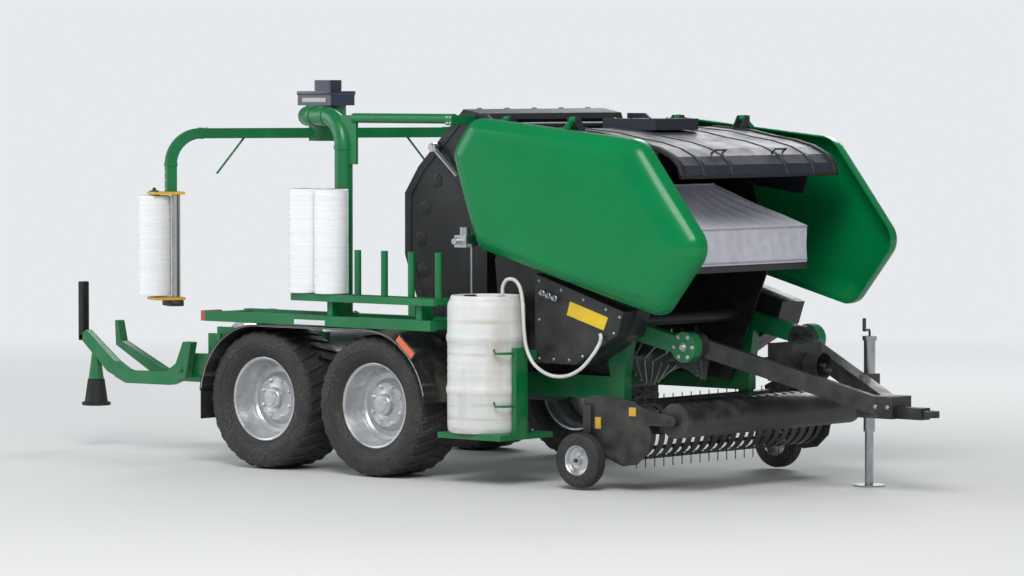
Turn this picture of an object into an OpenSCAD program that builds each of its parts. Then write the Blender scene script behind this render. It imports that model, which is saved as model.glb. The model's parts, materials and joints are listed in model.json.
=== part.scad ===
// Round baler with a satellite bale wrapper on one tandem chassis, towed by its drawbar.
// Millimetres. +X is the direction of travel, +Y is the left side, +Z is up.
// Lengths along X are counted from the middle of the tandem, which lies at tandem_x.

/* [Chassis] */
// Place of the tandem's middle behind the origin
tandem_x = -760; // [-900:10:-600]
// From the chamber's wall out to a main rail's centre
rail_gap = 90; // [80:5:110]
// Width of a main rail
rail_w = 80; // [60:5:100]
// Height of a main rail
rail_h = 160; // [120:5:180]
// Height of the main rails' underside
rail_z = 600; // [580:5:620]
// Rear end of the main rails, behind the tandem
rail_rear = 1740; // [1650:10:1800]
// Front end of the main rails, ahead of the tandem
rail_front = 2380; // [2300:10:2450]
// Height of the drawbar's eye
eye_z = 560; // [450:10:620]
// Drawbar's eye ahead of the tandem
eye_x = 4440; // [4200:10:4600]
// Bore of the drawbar's eye
eye_bore = 50; // [40:1:58]
// Thickness of the drawbar's eye
eye_t = 45; // [30:1:60]

/* [Wheels] */
// Outside diameter of a tyre
tyre_d = 1010; // [960:5:1030]
// Width of a tyre
tyre_w = 480; // [420:5:490]
// Diameter of a rim at its flanges
rim_d = 605; // [560:5:640]
// Distance between the two axles of the tandem
axle_pitch = 1080; // [1050:5:1140]
// From a main rail's centre out to a tyre's centre
track_gap = 400; // [395:5:420]
// Diameter of an axle stub
axle_d = 80; // [60:2:100]

/* [Bale chamber] */
// Centre of the bale chamber ahead of the tandem
chamber_x = 1250; // [1230:5:1270]
// Height of the chamber's centre
chamber_z = 1650; // [1630:5:1670]
// Inside radius, to the rollers
bale_r = 615; // [600:5:620]
// Inside width of the chamber
chamber_w = 1220; // [1180:5:1230]
// Diameter of a chamber roller
roller_d = 200; // [170:5:210]
// Thickness of a chamber side plate
side_t = 12; // [8:1:16]
// From the chamber's wall out to the tailgate's side
gate_wall = 170; // [150:5:180]
// How far the split line stands behind the chamber's centre
split_back = 90; // [70:5:100]

/* [Side shells] */
// From the tailgate's side out to a shell's rim
shell_gap = 260; // [250:5:280]
// How far a shell bulges out from its rim
shell_bulge = 170; // [120:5:180]
// Thickness of a shell
shell_t = 12; // [8:1:16]

/* [Satellite wrapper] */
// Wrapper's centre behind the tandem
hub_back = 1120; // [1100:5:1130]
// Height of the satellite arms
arm_z = 2410; // [2380:5:2430]
// Side of an arm's square tube
arm_s = 75; // [60:1:80]
// Radius from the wrapper's centre to an arm's leg
leg_r = 1203; // [1190:1:1210]
// Direction of the first arm at rest, from +X
arm_angle = 60; // [55:1:65]
// From an arm's leg out to its film roll's axis
film_gap = 127; // [120:1:135]
// Diameter of a film roll
film_d = 245; // [200:5:250]
// Length of a film roll
film_l = 750; // [500:10:750]
// Underside of the film rolls on the satellites
film_z = 1205; // [1195:5:1220]
// Diameter of the gantry's mast
mast_d = 130; // [110:5:140]
// Mast ahead of the tandem
mast_x = 80; // [70:5:90]
// From a main rail's centre out to the mast
mast_gap = 400; // [390:5:420]
// From the satellite arms up to the gantry's tube
gantry_gap = 135; // [130:5:150]

/* [Wrap table] */
// Half the distance between the table's rollers
table_pitch_half = 390; // [360:5:400]
// Diameter of a table roller
table_roller_d = 200; // [160:5:220]
// Length of a table roller
table_roller_l = 1080; // [1000:10:1100]
// Height of the table rollers' axes
table_z = 900; // [890:5:920]

/* [Film rack] */
// Distance between neighbouring pins
pin_pitch = 255; // [252:1:262]
// Number of pins a side
pin_count = 6; // [4:1:6]
// Diameter of a pin
pin_d = 50; // [40:2:60]
// First pin ahead of the tandem
pin_first = -100; // [-110:5:-80]
// From a main rail's centre out to the rack's middle
rack_gap = 610; // [600:5:630]
// Top of the rack's rails
rack_z = 1285; // [1270:5:1300]

/* [Barrel] */
// Diameter of the barrel
barrel_d = 560; // [520:5:570]
// Height of the barrel
barrel_h = 950; // [880:5:980]
// Underside of the barrel
barrel_z = 365; // [350:5:380]

/* [Pickup] */
// Pickup reel's axis ahead of the tandem
reel_x = 2620; // [2600:5:2640]
// Height of the reel's axis
reel_z = 400; // [390:5:410]
// Reel's diameter over the tines
reel_d = 500; // [460:5:510]
// Half the reel's length
reel_half = 950; // [900:10:960]
// Distance between neighbouring tines
tine_pitch = 100; // [90:5:120]
// Diameter of a tine
tine_d = 8; // [6:1:10]

/* [Hidden] */
$fn = 48;
green = [0.02, 0.36, 0.16];
dark = [0.07, 0.075, 0.085];
silver = [0.72, 0.73, 0.74];
seat = 0.4; // running gap at pins and seats
// Widths that follow the bale chamber
wall_y = chamber_w / 2;
rail_y = wall_y + rail_gap;
rail_in = rail_y - rail_w / 2;
track_half = rail_y + track_gap;
mast_y = rail_y + mast_gap;
rack_y = rail_y + rack_gap;
gate_half = wall_y + gate_wall;
cyl_y = gate_half + 50;
hood_half = gate_half + 108;
drive_in = gate_half + 110;
drive_out = drive_in + 130;
shell_y = gate_half + shell_gap;
barrel_y = -(drive_in + 292);
film_r = leg_r + film_gap;
gantry_z = arm_z + gantry_gap;
tie_z = gantry_z - 10;
axle_z = tyre_d / 2;
rail_top = rail_z + rail_h;
hub_x = -hub_back;
gate_x = chamber_x - split_back;
gate_hinge_z = chamber_z + 830;
outer_r = bale_r + roller_d + 5;

// Moves its children to the tandem's middle, since lengths along X count from there
module at_tandem() {
    translate([tandem_x, 0, 0]) children();
}

// Draws its children on the left side and again on the right
module both_sides() {
    children();
    mirror([0, 1, 0]) children();
}

// Box between two corners
module block(low, high) {
    translate(low) cube(high - low);
}

// Round bar along Y, centred on the middle plane unless told otherwise
module bar_y(d, l, at) {
    translate(at) rotate([90, 0, 0]) cylinder(d = d, h = l, center = true);
}

// Round bar between two places along Y, at a place in X and Z
module pin_y(d, y0, y1, place) {
    bar_y(d, y1 - y0, [place[0], (y0 + y1) / 2, place[1]]);
}

// Round tube between two points
module strut(a, b, d) {
    v = b - a;
    translate(a)
        rotate([0, acos(v[2] / norm(v)), atan2(v[1], v[0])])
            cylinder(d = d, h = norm(v));
}

// Square tube between two points
module square_strut(a, b, w, h) {
    v = b - a;
    translate(a)
        rotate([0, acos(v[2] / norm(v)), atan2(v[1], v[0])])
            translate([-h / 2, -w / 2, 0]) cube([h, w, norm(v)]);
}

// Extrudes an outline drawn in X and Z between two places along Y
module slab_y(y0, y1) {
    translate([0, y1, 0]) rotate([90, 0, 0]) linear_extrude(y1 - y0) children();
}

// Extrudes an outline drawn in Y and Z between two places along X
module slab_x(x0, x1) {
    translate([x0, 0, 0]) rotate([90, 0, 90]) linear_extrude(x1 - x0) children();
}

// Chassis

cross_x = [-rail_rear + 60, -430, 330, 1560];
pickup_hinge = [2320, 560];
table_hinge = [-1620, 860];
tipper_hinge = [-1850, 640];
module main_frame() {
    color(green) at_tandem() {
        both_sides() difference() {
            union() {
                block([-rail_rear, rail_in, rail_z], [rail_front, rail_y + rail_w / 2, rail_top]);
                arm_beam();
                block(
                    [pickup_hinge[0] - 50, rail_y - 20, pickup_hinge[1] - 60],
                    [pickup_hinge[0] + 50, rail_y + 20, rail_z + 20]
                );
                block(
                    [table_hinge[0] - 60, rail_in, rail_top - 20],
                    [table_hinge[0] + 60, rail_y - 5, table_hinge[1] + 55]
                );
                block(
                    [tipper_hinge[0] - 65, rail_y - 20, tipper_hinge[1] - 60],
                    [20 - rail_rear, rail_y + 20, rail_top]
                );
            }
            for (h = [[60, pickup_hinge], [50, table_hinge], [60, tipper_hinge]])
                bar_y(h[0] + 2 * seat, 3 * rail_y, [h[1][0], 0, h[1][1]]);
        }
        for (x = cross_x)
            block([x - 50, -rail_y, rail_z + 20], [x + 50, rail_y, rail_z + 100]);
    }
}

// Raised front arm of a side rail, which ends in the drawbar's bracket
arm_front = [2900, 985];
arm_back = [2180, 1150];
module arm_beam() {
    slab_y(rail_in, rail_in + rail_w)
        polygon([
            arm_back + [0, 60], arm_back + [0, -60], [rail_front - 120, rail_top - 10],
            [rail_front, rail_top - 10], [rail_front + 40, 1030], arm_front + [0, -60],
            arm_front + [0, 60]
        ]);
    slab_y(rail_in, rail_in + rail_w)
        translate(arm_front) circle(d = 210);
}

module bogie_beams() {
    color(dark) at_tandem() both_sides() {
        beam_y = track_half - tyre_w / 2 - 60;
        slab_y(beam_y - 50, beam_y + 30)
            polygon([
                [-axle_pitch / 2 - 75, axle_z + 55], [-axle_pitch / 2 - 75, axle_z - 55],
                [-axle_pitch / 2 + 75, axle_z - 75], [-110, axle_z - 75], [110, axle_z - 75],
                [axle_pitch / 2 - 75, axle_z - 75], [axle_pitch / 2 + 75, axle_z - 55],
                [axle_pitch / 2 + 75, axle_z + 55], [120, axle_z + 125], [-120, axle_z + 125]
            ]);
        bar_y(100, beam_y - rail_y, [0, (beam_y + rail_y) / 2, axle_z]);
        block([-90, rail_in, axle_z - 70], [90, rail_in + rail_w, rail_z - seat]);
        for (x = [-1, 1] * axle_pitch / 2)
            bar_y(axle_d, track_half - beam_y + 20, [x, (track_half + beam_y + 20) / 2, axle_z]);
    }
}

deck_z = 1130;
deck_low = 1055;
deck_y = track_half + 260;
deck_in = track_half - 220;
deck_rear = -1060;
deck_front = 1140;
// Posts under the decks: X, then the inner and outer side from a main rail's centre
deck_posts = [[-980, 60, 145], [1070, 90, 165]];
module side_decks() {
    color(green) at_tandem() both_sides() {
        block([deck_rear, deck_y - 70, deck_low], [deck_front, deck_y, deck_z]);
        block([deck_rear, deck_in, deck_low], [deck_front, deck_in + 70, deck_z]);
        for (x = [deck_rear, 40, deck_front - 70])
            block([x, deck_in + 20, deck_low + 10], [x + 70, deck_y - 20, deck_z - 10]);
        for (p = deck_posts) {
            block([p[0], rail_y + rail_w / 2 + seat, rail_z + 40], [p[0] + 70, rail_y + p[2], rail_top - 20]);
            block([p[0], rail_y + p[1], rail_z + 60], [p[0] + 70, rail_y + p[2], deck_z - 5]);
            block([p[0], rail_y + p[1], deck_low + 5], [p[0] + 70, deck_in + 20, deck_z - 5]);
        }
        for (x = [-1, 0, 1] * axle_pitch / 2)
            block([x - 30, deck_in + 20, guard_top + seat], [x + 30, deck_y - 30, deck_low + 10]);
    }
}

guard_t = 8;
guard_r = 560;
guard_top = axle_z - 20 + guard_r;
module guard_outline(grow) {
    for (x = [-1, 1] * axle_pitch / 2)
        translate([x, axle_z - 20]) circle(r = guard_r - guard_t + grow);
    translate([-axle_pitch / 2, axle_z - 20]) square([axle_pitch, guard_r - guard_t + grow]);
}
module mudguards() {
    color(dark) at_tandem() both_sides()
        slab_y(track_half - tyre_w / 2 + 10, track_half + tyre_w / 2 + 40)
            difference() {
                guard_outline(guard_t);
                guard_outline(0);
                translate([-2000, -1000]) square([4000, 1550]);
            }
}

draw_w = 120;
draw_y = rail_y - 140;
// Front of the nose block, behind the eye
nose_x = eye_x - 240;
gear_x = 3180;
gear_z = 740;
gear_size = [220, 320, 260];
// Height and size of the shaft stub: outside diameter and length
stub_z = gear_z + 110;
stub = [35, 110];
jack_x = 3620;
jack_y = 420;
module drawbar() {
    color(dark) at_tandem() {
        difference() {
            union() {
                both_sides() {
                    square_strut([arm_front[0], draw_y, arm_front[1]], [nose_x - 150, 60, eye_z + 40], 100, draw_w);
                    slab_y(draw_y, rail_in - seat) translate(arm_front) circle(d = 190);
                }
                block([gear_x - 50, -480, gear_z + 105], [gear_x, 480, gear_z + 160]);
                block([jack_x - 50, 200, 690], [jack_x + 50, jack_y + 55, 780]);
                block([nose_x - 300, -110, eye_z - 40], [nose_x, 110, eye_z + 110]);
                block([nose_x - 50, -50, eye_z - 40], [eye_x - 40, 50, eye_z + 40]);
                translate([eye_x, 0, eye_z - eye_t / 2]) cylinder(d = eye_bore + 70, h = eye_t);
            }
            translate([eye_x, 0, eye_z - 60]) cylinder(d = eye_bore, h = 120);
            translate([jack_x, jack_y, 600]) cylinder(d = 80 + 2 * seat, h = 300);
        }
    }
}

module parking_jack() {
    color(dark) at_tandem() translate([jack_x, jack_y, 0]) {
        cylinder(d = 220, h = 12);
        translate([0, 0, 5]) cylinder(d = 60, h = 500);
        translate([0, 0, 380]) cylinder(d = 80, h = 640);
        translate([0, 0, 1010]) cylinder(d = 100, h = 30);
    }
}

// Wheels

module tyre() {
    r = tyre_d / 2;
    w = tyre_w / 2;
    rotate([90, 0, 0])
        rotate_extrude()
            difference() {
                hull() {
                    translate([r - 60, -w + 60]) circle(r = 60);
                    translate([r - 60, w - 60]) circle(r = 60);
                    translate([rim_d / 2 - 10, -w + 30]) square([40, 2 * w - 60]);
                }
                translate([rim_d / 2 - 60, -w + 60]) square([60, 2 * w - 120]);
                translate([0, -w]) square([rim_d / 2 - 12, 2 * w]);
            }
}

module rim() {
    w = tyre_w / 2 - 62;
    rotate([90, 0, 0])
        difference() {
            rotate_extrude()
                polygon([
                    [rim_d / 2 - 26, -w], [rim_d / 2 - seat, -w], [rim_d / 2 - seat, w], [rim_d / 2 - 26, w],
                    [rim_d / 2 - 50, w - 60], [rim_d / 2 - 70, 40], [140, 20], [axle_d / 2 + 20, 60],
                    [axle_d / 2 + seat, 60], [axle_d / 2 + seat, 0],
                    [140, 0], [rim_d / 2 - 78, 20], [rim_d / 2 - 60, -60]
                ]);
        }
}

module place_wheel(x, side) {
    at_tandem() translate([x * axle_pitch / 2, side * track_half, axle_z])
        rotate([0, 0, side > 0 ? 180 : 0]) children();
}
module tyre_rear_right() { color(dark) place_wheel(-1, -1) tyre(); }
module rim_rear_right() { color(silver) place_wheel(-1, -1) rim(); }
module tyre_front_right() { color(dark) place_wheel(1, -1) tyre(); }
module rim_front_right() { color(silver) place_wheel(1, -1) rim(); }
module tyre_rear_left() { color(dark) place_wheel(-1, 1) tyre(); }
module rim_rear_left() { color(silver) place_wheel(-1, 1) rim(); }
module tyre_front_left() { color(dark) place_wheel(1, 1) tyre(); }
module rim_front_left() { color(silver) place_wheel(1, 1) rim(); }

// Baler

hood_t = 15;

module chamber_roller(angle) {
    r = bale_r + roller_d / 2;
    bar_y(roller_d, chamber_w + 2, [chamber_x + r * cos(angle), 0, chamber_z + r * sin(angle)]);
}

front_roller_angles = [-88, -70, -6, 12, 30, 48, 66];
// The hood's outer line in X and Z, from the gate forward and down over the net
hood_line = [
    [gate_x + 30, 2440], [1900, 2470], [2250, 2440], [2450, 2402], [2640, 2375], [2800, 2335], [2910, 2285],
    [2975, 2225], [3000, 2150]
];
// Direction out of the hood at a point of its line
function hood_normal(i) = let (
    v = hood_line[min(i + 1, len(hood_line) - 1)] - hood_line[i - 1]
) [-v[1], v[0]] / norm(v);
function hood_under(x) = hood_line[0][1] - hood_t
    + (x - hood_line[0][0]) * (hood_line[1][1] - hood_line[0][1]) / (hood_line[1][0] - hood_line[0][0]);
// Outline of a chamber side plate in X and Z
front_outline = [
    [gate_x + 6, rail_top + 10], [2250, rail_top - 90], [2420, 1080], [2600, 1500], [2450, 2080], [2000, 2380],
    [1700, hood_under(1700) - seat], [1318, hood_under(1318) - seat], [gate_x + 6, gate_hinge_z - 40]
];
// Feet of the chamber on the main rails, from and to along X
foot_x = [gate_x + 50, 1490];
guide_bar = [2380, 1500];
lower_bar = [2290, 1140];
module chamber_front() {
    color(dark) at_tandem() {
        both_sides()
            slab_y(wall_y, wall_y + side_t)
                difference() {
                    union() {
                        polygon(front_outline);
                        translate([gate_x, gate_hinge_z]) circle(d = 110);
                    }
                    translate([rotor_x, rotor_z]) circle(d = 70 + 2 * seat);
                }
        for (a = front_roller_angles) chamber_roller(a);
        bar_y(50, 2 * (wall_y + 100), [gate_x, 0, gate_hinge_z]);
        bar_y(90, chamber_w + 2, [guide_bar[0], 0, guide_bar[1]]);
        bar_y(90, 2 * (rail_in - seat), [lower_bar[0], 0, lower_bar[1]]);
        both_sides() {
            block([foot_x[0], wall_y + 1, rail_z + 40], [foot_x[1], rail_in - seat, rail_top + 30]);
            pin_y(40, wall_y + 1, cyl_y + 40, cyl_low);
        }
    }
}

// Outline of the hood's side plate in X and Z, with the shoulder that carries the gantry's tie
hood_side = [
    [gate_x + 20, 2180], [2700, 2000], [2790, 2320], [2450, 2387], [1900, 2460], [1400, 2448],
    [1250, tie_z + 30], [gate_x - 75, tie_z + 30], [gate_x - 75, tie_z - 90], [gate_x + 20, 2400]
];
// The raised cap on the hood: low and high corner
hood_cap = [[1770, -240, 2455], [2250, 240, 2535]];
// Places of the side shells' hinges along X
shell_hinges = [1500, 2100];
shell_pin = [gate_half + 170, 2530];
module top_hood() {
    color([0.1, 0.12, 0.17]) at_tandem() {
        slab_y(-hood_half, hood_half)
            polygon(concat(
                [[gate_x + 160, hood_under(gate_x + 160) + hood_t]],
                [for (i = [1:len(hood_line) - 1]) hood_line[i]],
                [for (i = [len(hood_line) - 1:-1:1]) hood_line[i] - hood_t * hood_normal(i)],
                [[gate_x + 160, hood_under(gate_x + 160)]]
            ));
        block(hood_cap[0], hood_cap[1]);
        both_sides() {
            slab_y(hood_half - 20, hood_half) polygon(hood_side);
            for (x = shell_hinges, e = [-40, 28])
                slab_x(x + e, x + e + 12)
                    polygon([
                        [hood_half - 15, shell_pin[1] - 130], [shell_pin[0] + 22, shell_pin[1] - 40],
                        [shell_pin[0] + 22, shell_pin[1] + 22], [shell_pin[0] - 25, shell_pin[1] + 22],
                        [hood_half - 15, shell_pin[1] - 60]
                    ]);
            for (x = shell_hinges)
                translate([x - 44, shell_pin[0], shell_pin[1]]) rotate([0, 90, 0]) cylinder(d = 24, h = 88);
        }
    }
}

net_back = 2610;
net_l = 290;
net_x = net_back + net_l;
net_half = wall_y + 63;
net_z = 1525;
net_fold = 1790;
// Ridge of the net's cover: low and high corner
net_ridge = [[2460, -390, 2060], [2500, 120, 2085]];
module net_box() {
    color(dark) at_tandem() {
        block([net_back - 110, seat - wall_y, net_z - 45], [net_back + 10, wall_y - seat, net_z - 7]);
        block([net_back, -net_half, net_z - 45], [net_x - 10, net_half, net_z - seat]);
        both_sides() block([net_back, net_half - 12, net_z - 25], [net_x - 20, net_half, net_fold - 30]);
        block([net_back, 8 - net_half, net_z - 25], [net_back + 12, net_half - 8, net_z + 115]);
    }
}

module net_cover() {
    color(silver) at_tandem()
        hull() {
            block([net_back - 50, 25 - net_half, net_fold - 30], [net_x, net_half - 25, net_fold]);
            block([net_x - 14, 13 - net_half, net_z], [net_x, net_half - 13, net_fold]);
            block(net_ridge[0], net_ridge[1]);
        }
}

// Outlines in X and Z of a drive housing, of its raised front half and of the pump's tab
drive_outline = [[1330, 1560], [1440, 1590], [2620, 1235], [2560, 1060], [2180, 840], [1400, 840]];
drive_step = [[1810, 1468], [2605, 1228], [2550, 1068], [2175, 850], [1810, 850]];
pump_tab = [[1285, 1715], [1285, 1640], [1400, 1500], [1540, 1500], [1385, 1715]];
module side_drives() {
    color(dark) at_tandem() both_sides() {
        slab_y(rail_in + rail_w + seat, drive_in) polygon(drive_outline);
        slab_y(drive_in - 20, drive_out) polygon(drive_step);
        slab_y(drive_in - 15, drive_in) polygon(pump_tab);
    }
}

// Corners of a side shell in X and Z, each with its radius
shell_corners = [
    [1400, 2380, 160], [1290, 2280, 130], [1480, 1740, 130], [2960, 1350, 130], [3190, 1680, 160],
    [2720, 2210, 200]
];
module shell_layer(y, inset) {
    slab_y(y, y + 2)
        hull()
            for (c = shell_corners)
                translate([c[0], c[1]]) circle(r = c[2] - inset, $fn = 32);
}
// Slanted crown of a shell: each layer is its distance out and its inset
shell_layers = [[0, 0], [0.45, 6], [0.8, 40], [1, 110]];
module shell_solid(shrink) {
    hull()
        for (l = shell_layers)
            shell_layer(shell_y + l[0] * (shell_bulge - shrink), l[1] + shrink);
}
// Height of the shells' top edge
shell_lean = atan2(shell_corners[5][1] - shell_corners[0][1], shell_corners[5][0] - shell_corners[0][0])
    + asin((shell_corners[5][2] - shell_corners[0][2]) / norm([
        shell_corners[5][0] - shell_corners[0][0], shell_corners[5][1] - shell_corners[0][1]
    ]));
function shell_top(x) = shell_corners[0][1] + shell_corners[0][2] * cos(shell_lean)
    + (x - shell_corners[0][0] + shell_corners[0][2] * sin(shell_lean)) * tan(shell_lean);
module shell() {
    difference() {
        shell_solid(0);
        translate([0, -3, 0]) shell_solid(shell_t);
    }
    for (x = shell_hinges) difference() {
        union() {
            slab_x(x - 10, x + 10)
                polygon([
                    [shell_pin[0], shell_pin[1] + 20], [shell_y + 50, shell_top(x) - 4],
                    [shell_y + 50, shell_top(x) - 60], [shell_pin[0], shell_pin[1] - 20]
                ]);
            translate([x - 26, shell_pin[0], shell_pin[1]]) rotate([0, 90, 0]) cylinder(d = 50, h = 52);
        }
        translate([x - 50, shell_pin[0], shell_pin[1]]) rotate([0, 90, 0]) cylinder(d = 24 + 2 * seat, h = 100);
    }
}
module shell_right() { color(green) at_tandem() mirror([0, 1, 0]) shell(); }
module shell_left() { color(green) at_tandem() shell(); }

module gearbox() {
    color(dark) at_tandem() {
        translate([gear_x + seat, -gear_size[1] / 2, gear_z])
            cube(gear_size - [seat, 0, 0]);
        translate([gear_x + gear_size[0], 0, stub_z]) rotate([0, 90, 0]) {
            translate([0, 0, -10]) cylinder(d = 120, h = 60);
            translate([0, 0, 40]) cylinder(d = stub[0], h = stub[1]);
        }
    }
}

// Outline of the tailgate in X and Z
gate_outline = [
    [gate_x, gate_hinge_z - 60], [gate_x - 60, gate_hinge_z + 90], [940, 2600], [510, 2190], [380, 2000],
    [380, 1560], [500, 1240], [740, 880], [900, 810], [gate_x, 800]
];
gate_roller_angles = [106, 124, 142, 160, 178, 196, 214, 231, 248];
module tailgate() {
    color(dark) at_tandem() {
        difference() {
            union() {
                difference() {
                    slab_y(-gate_half, gate_half) polygon(gate_outline);
                    slab_y(-wall_y, wall_y) translate([chamber_x, chamber_z]) circle(r = outer_r, $fn = 96);
                    slab_y(-wall_y - 20, wall_y + 20)
                        translate([gate_x, gate_hinge_z]) circle(r = 64);
                }
                both_sides() slab_y(wall_y + 30, wall_y + 90) translate([gate_x, gate_hinge_z]) circle(d = 90);
            }
            bar_y(50 + 2 * seat, 2 * (wall_y + 110), [gate_x, 0, gate_hinge_z]);
        }
        for (a = gate_roller_angles) chamber_roller(a);
        both_sides() pin_y(70, gate_half - 1, cyl_y - 22 - eye_gap, cyl_eye);
    }
}

cyl_low = [1480, 1640];
cyl_eye = [700, 2330];
cyl_l = norm(cyl_eye - cyl_low);
tube_l = 0.7 * cyl_l;
// Way between a rod's eye and the gate's boss, past which the eye drifts as the gate turns
eye_gap = 3;
// Stands its children on the cylinder's lower pin, with +X along the rod
module along_cylinder() {
    translate([cyl_low[0], 0, cyl_low[1]])
        rotate([0, -atan2(cyl_eye[1] - cyl_low[1], cyl_eye[0] - cyl_low[0]), 0])
            children();
}
module gate_cylinder_tubes() {
    color(dark) at_tandem() both_sides() along_cylinder()
        difference() {
            union() {
                translate([25, cyl_y, 0]) rotate([0, 90, 0]) cylinder(d = 66, h = tube_l - 25);
                bar_y(76, 50, [0, cyl_y, 0]);
            }
            bar_y(40 + 2 * seat, 70, [0, cyl_y, 0]);
            translate([60, cyl_y, 0]) rotate([0, 90, 0]) cylinder(d = 36 + 2 * seat, h = tube_l);
        }
}
module gate_cylinder_rods() {
    color(silver) at_tandem() both_sides() along_cylinder()
        {
            translate([120, cyl_y, 0]) rotate([0, 90, 0]) cylinder(d = 36, h = cyl_l - 130);
            bar_y(66, 44, [cyl_l, cyl_y, 0]);
            pin_y(40, cyl_y, cyl_y + 34, [cyl_l, 0]);
        }
}

rotor_x = 2050;
rotor_z = 860;
module feed_rotor() {
    color(silver) at_tandem() {
        bar_y(70, chamber_w + 2 * side_t + 10, [rotor_x, 0, rotor_z]);
        for (i = [-5:5])
            translate([rotor_x, i * 105, rotor_z]) rotate([90, i * 15, 0])
                linear_extrude(12, center = true)
                    for (a = [0:90:270])
                        rotate(a) polygon([[0, -60], [200, -20], [205, 0], [60, 60], [0, 60]]);
    }
}

pickup_in = reel_half + 60;
crop_x = reel_x + 400;
crop_z = 500;
gauge_x = 2300;
gauge_z = 205;
gauge_d = 380;
gauge_y = pickup_in + 100;
// Outline of a pickup side plate in X and Z
pickup_side = [
    [2250, 610], [2270, 500], [2390, 300], [2480, 215], [2600, 172], [2720, 190], [2820, 280],
    [2850, 400], [2800, 540], [2700, 620], [2560, 640], [2330, 650]
];
module pickup_frame() {
    color(dark) at_tandem() {
        both_sides() {
            slab_y(pickup_in, pickup_in + 12)
                difference() {
                    polygon(pickup_side);
                    translate([reel_x, reel_z]) circle(d = 40 + 2 * seat);
                }
            block([gauge_x - 40, pickup_in + 5, gauge_z - 25], [gauge_x + 30, pickup_in + 30, pickup_hinge[1] + 20]);
            pin_y(30, pickup_in + 10, gauge_y + 60, [gauge_x, gauge_z]);
            slab_y(pickup_in - 4, pickup_in + 16)
                difference() {
                    union() {
                        polygon([[2700, 600], [crop_x - 10, crop_z + 35], [crop_x + 10, crop_z - 35], [2780, 460]]);
                        translate([crop_x, crop_z]) circle(d = 80);
                    }
                    translate([crop_x, crop_z]) circle(d = 30 + 2 * seat);
                }
        }
        bar_y(60, 2 * (pickup_in + 5), [pickup_hinge[0], 0, pickup_hinge[1]]);
        for (i = [-9:10])
            slab_y(i * tine_pitch - tine_pitch / 2 - 30, i * tine_pitch - tine_pitch / 2 + 30)
                difference() {
                    translate([reel_x, reel_z]) circle(r = 190);
                    translate([reel_x, reel_z]) circle(r = 185);
                    translate([reel_x - 400, reel_z - 400]) square([330, 440]);
                }
        bar_y(30, 2 * (pickup_in + 5), [reel_x - 130, 0, reel_z + 136]);
    }
}

module pickup_reel() {
    color(dark) at_tandem() translate([reel_x, 0, reel_z]) {
        bar_y(40, 2 * (pickup_in + 10), [0, 0, 0]);
        for (y = [-1, 0, 1] * (reel_half - 50)) bar_y(260, 10, [0, y, 0]);
        for (a = [0:90:270])
            rotate([0, a, 0]) {
                bar_y(26, 2 * reel_half, [115, 0, 0]);
                for (i = [-9:9])
                    translate([115, i * tine_pitch, 0]) rotate([0, 90, 0]) cylinder(d = tine_d, h = reel_d / 2 - 115, $fn = 6);
            }
    }
}

module crop_roller() {
    color(dark) at_tandem() {
        bar_y(240, 2 * (pickup_in - 30), [crop_x, 0, crop_z]);
        bar_y(30, 2 * (pickup_in + 15), [crop_x, 0, crop_z]);
    }
}

module gauge_wheel() {
    rotate([90, 0, 0]) rotate_extrude()
        difference() {
            translate([15 + seat, -55]) square([gauge_d / 2 - 15 - seat, 110]);
            translate([90, 30]) square([30, 40]);
        }
}
module gauge_wheel_right() { color(dark) at_tandem() translate([gauge_x, -gauge_y, gauge_z]) gauge_wheel(); }
module gauge_wheel_left() { color(dark) at_tandem() translate([gauge_x, gauge_y, gauge_z]) gauge_wheel(); }

// Satellite wrapper

// The gantry is one bent tube: up the mast, over at mast_bend, round the elbow and in to the hub
elbow = [-400, -980];
mast_bend = 220;
// Front end of the gantry's tie and of its bracket on the hood
tie_front = 1150;
hub_d = 300;
hub_h = 150;
hub_low = gantry_z - hub_h / 2 - 5;
elbow_bend = 300;
function heading(a, b) = atan2(b[1] - a[1], b[0] - a[0]);
run_1 = heading([mast_x, -mast_y], elbow);
run_2 = heading(elbow, [hub_x, 0]);
elbow_trim = elbow_bend * tan((run_1 - run_2) / 2);
run_1_end = elbow - elbow_trim * [cos(run_1), sin(run_1)];
run_2_start = elbow + elbow_trim * [cos(run_2), sin(run_2)];
collar_l = 30;
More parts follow.
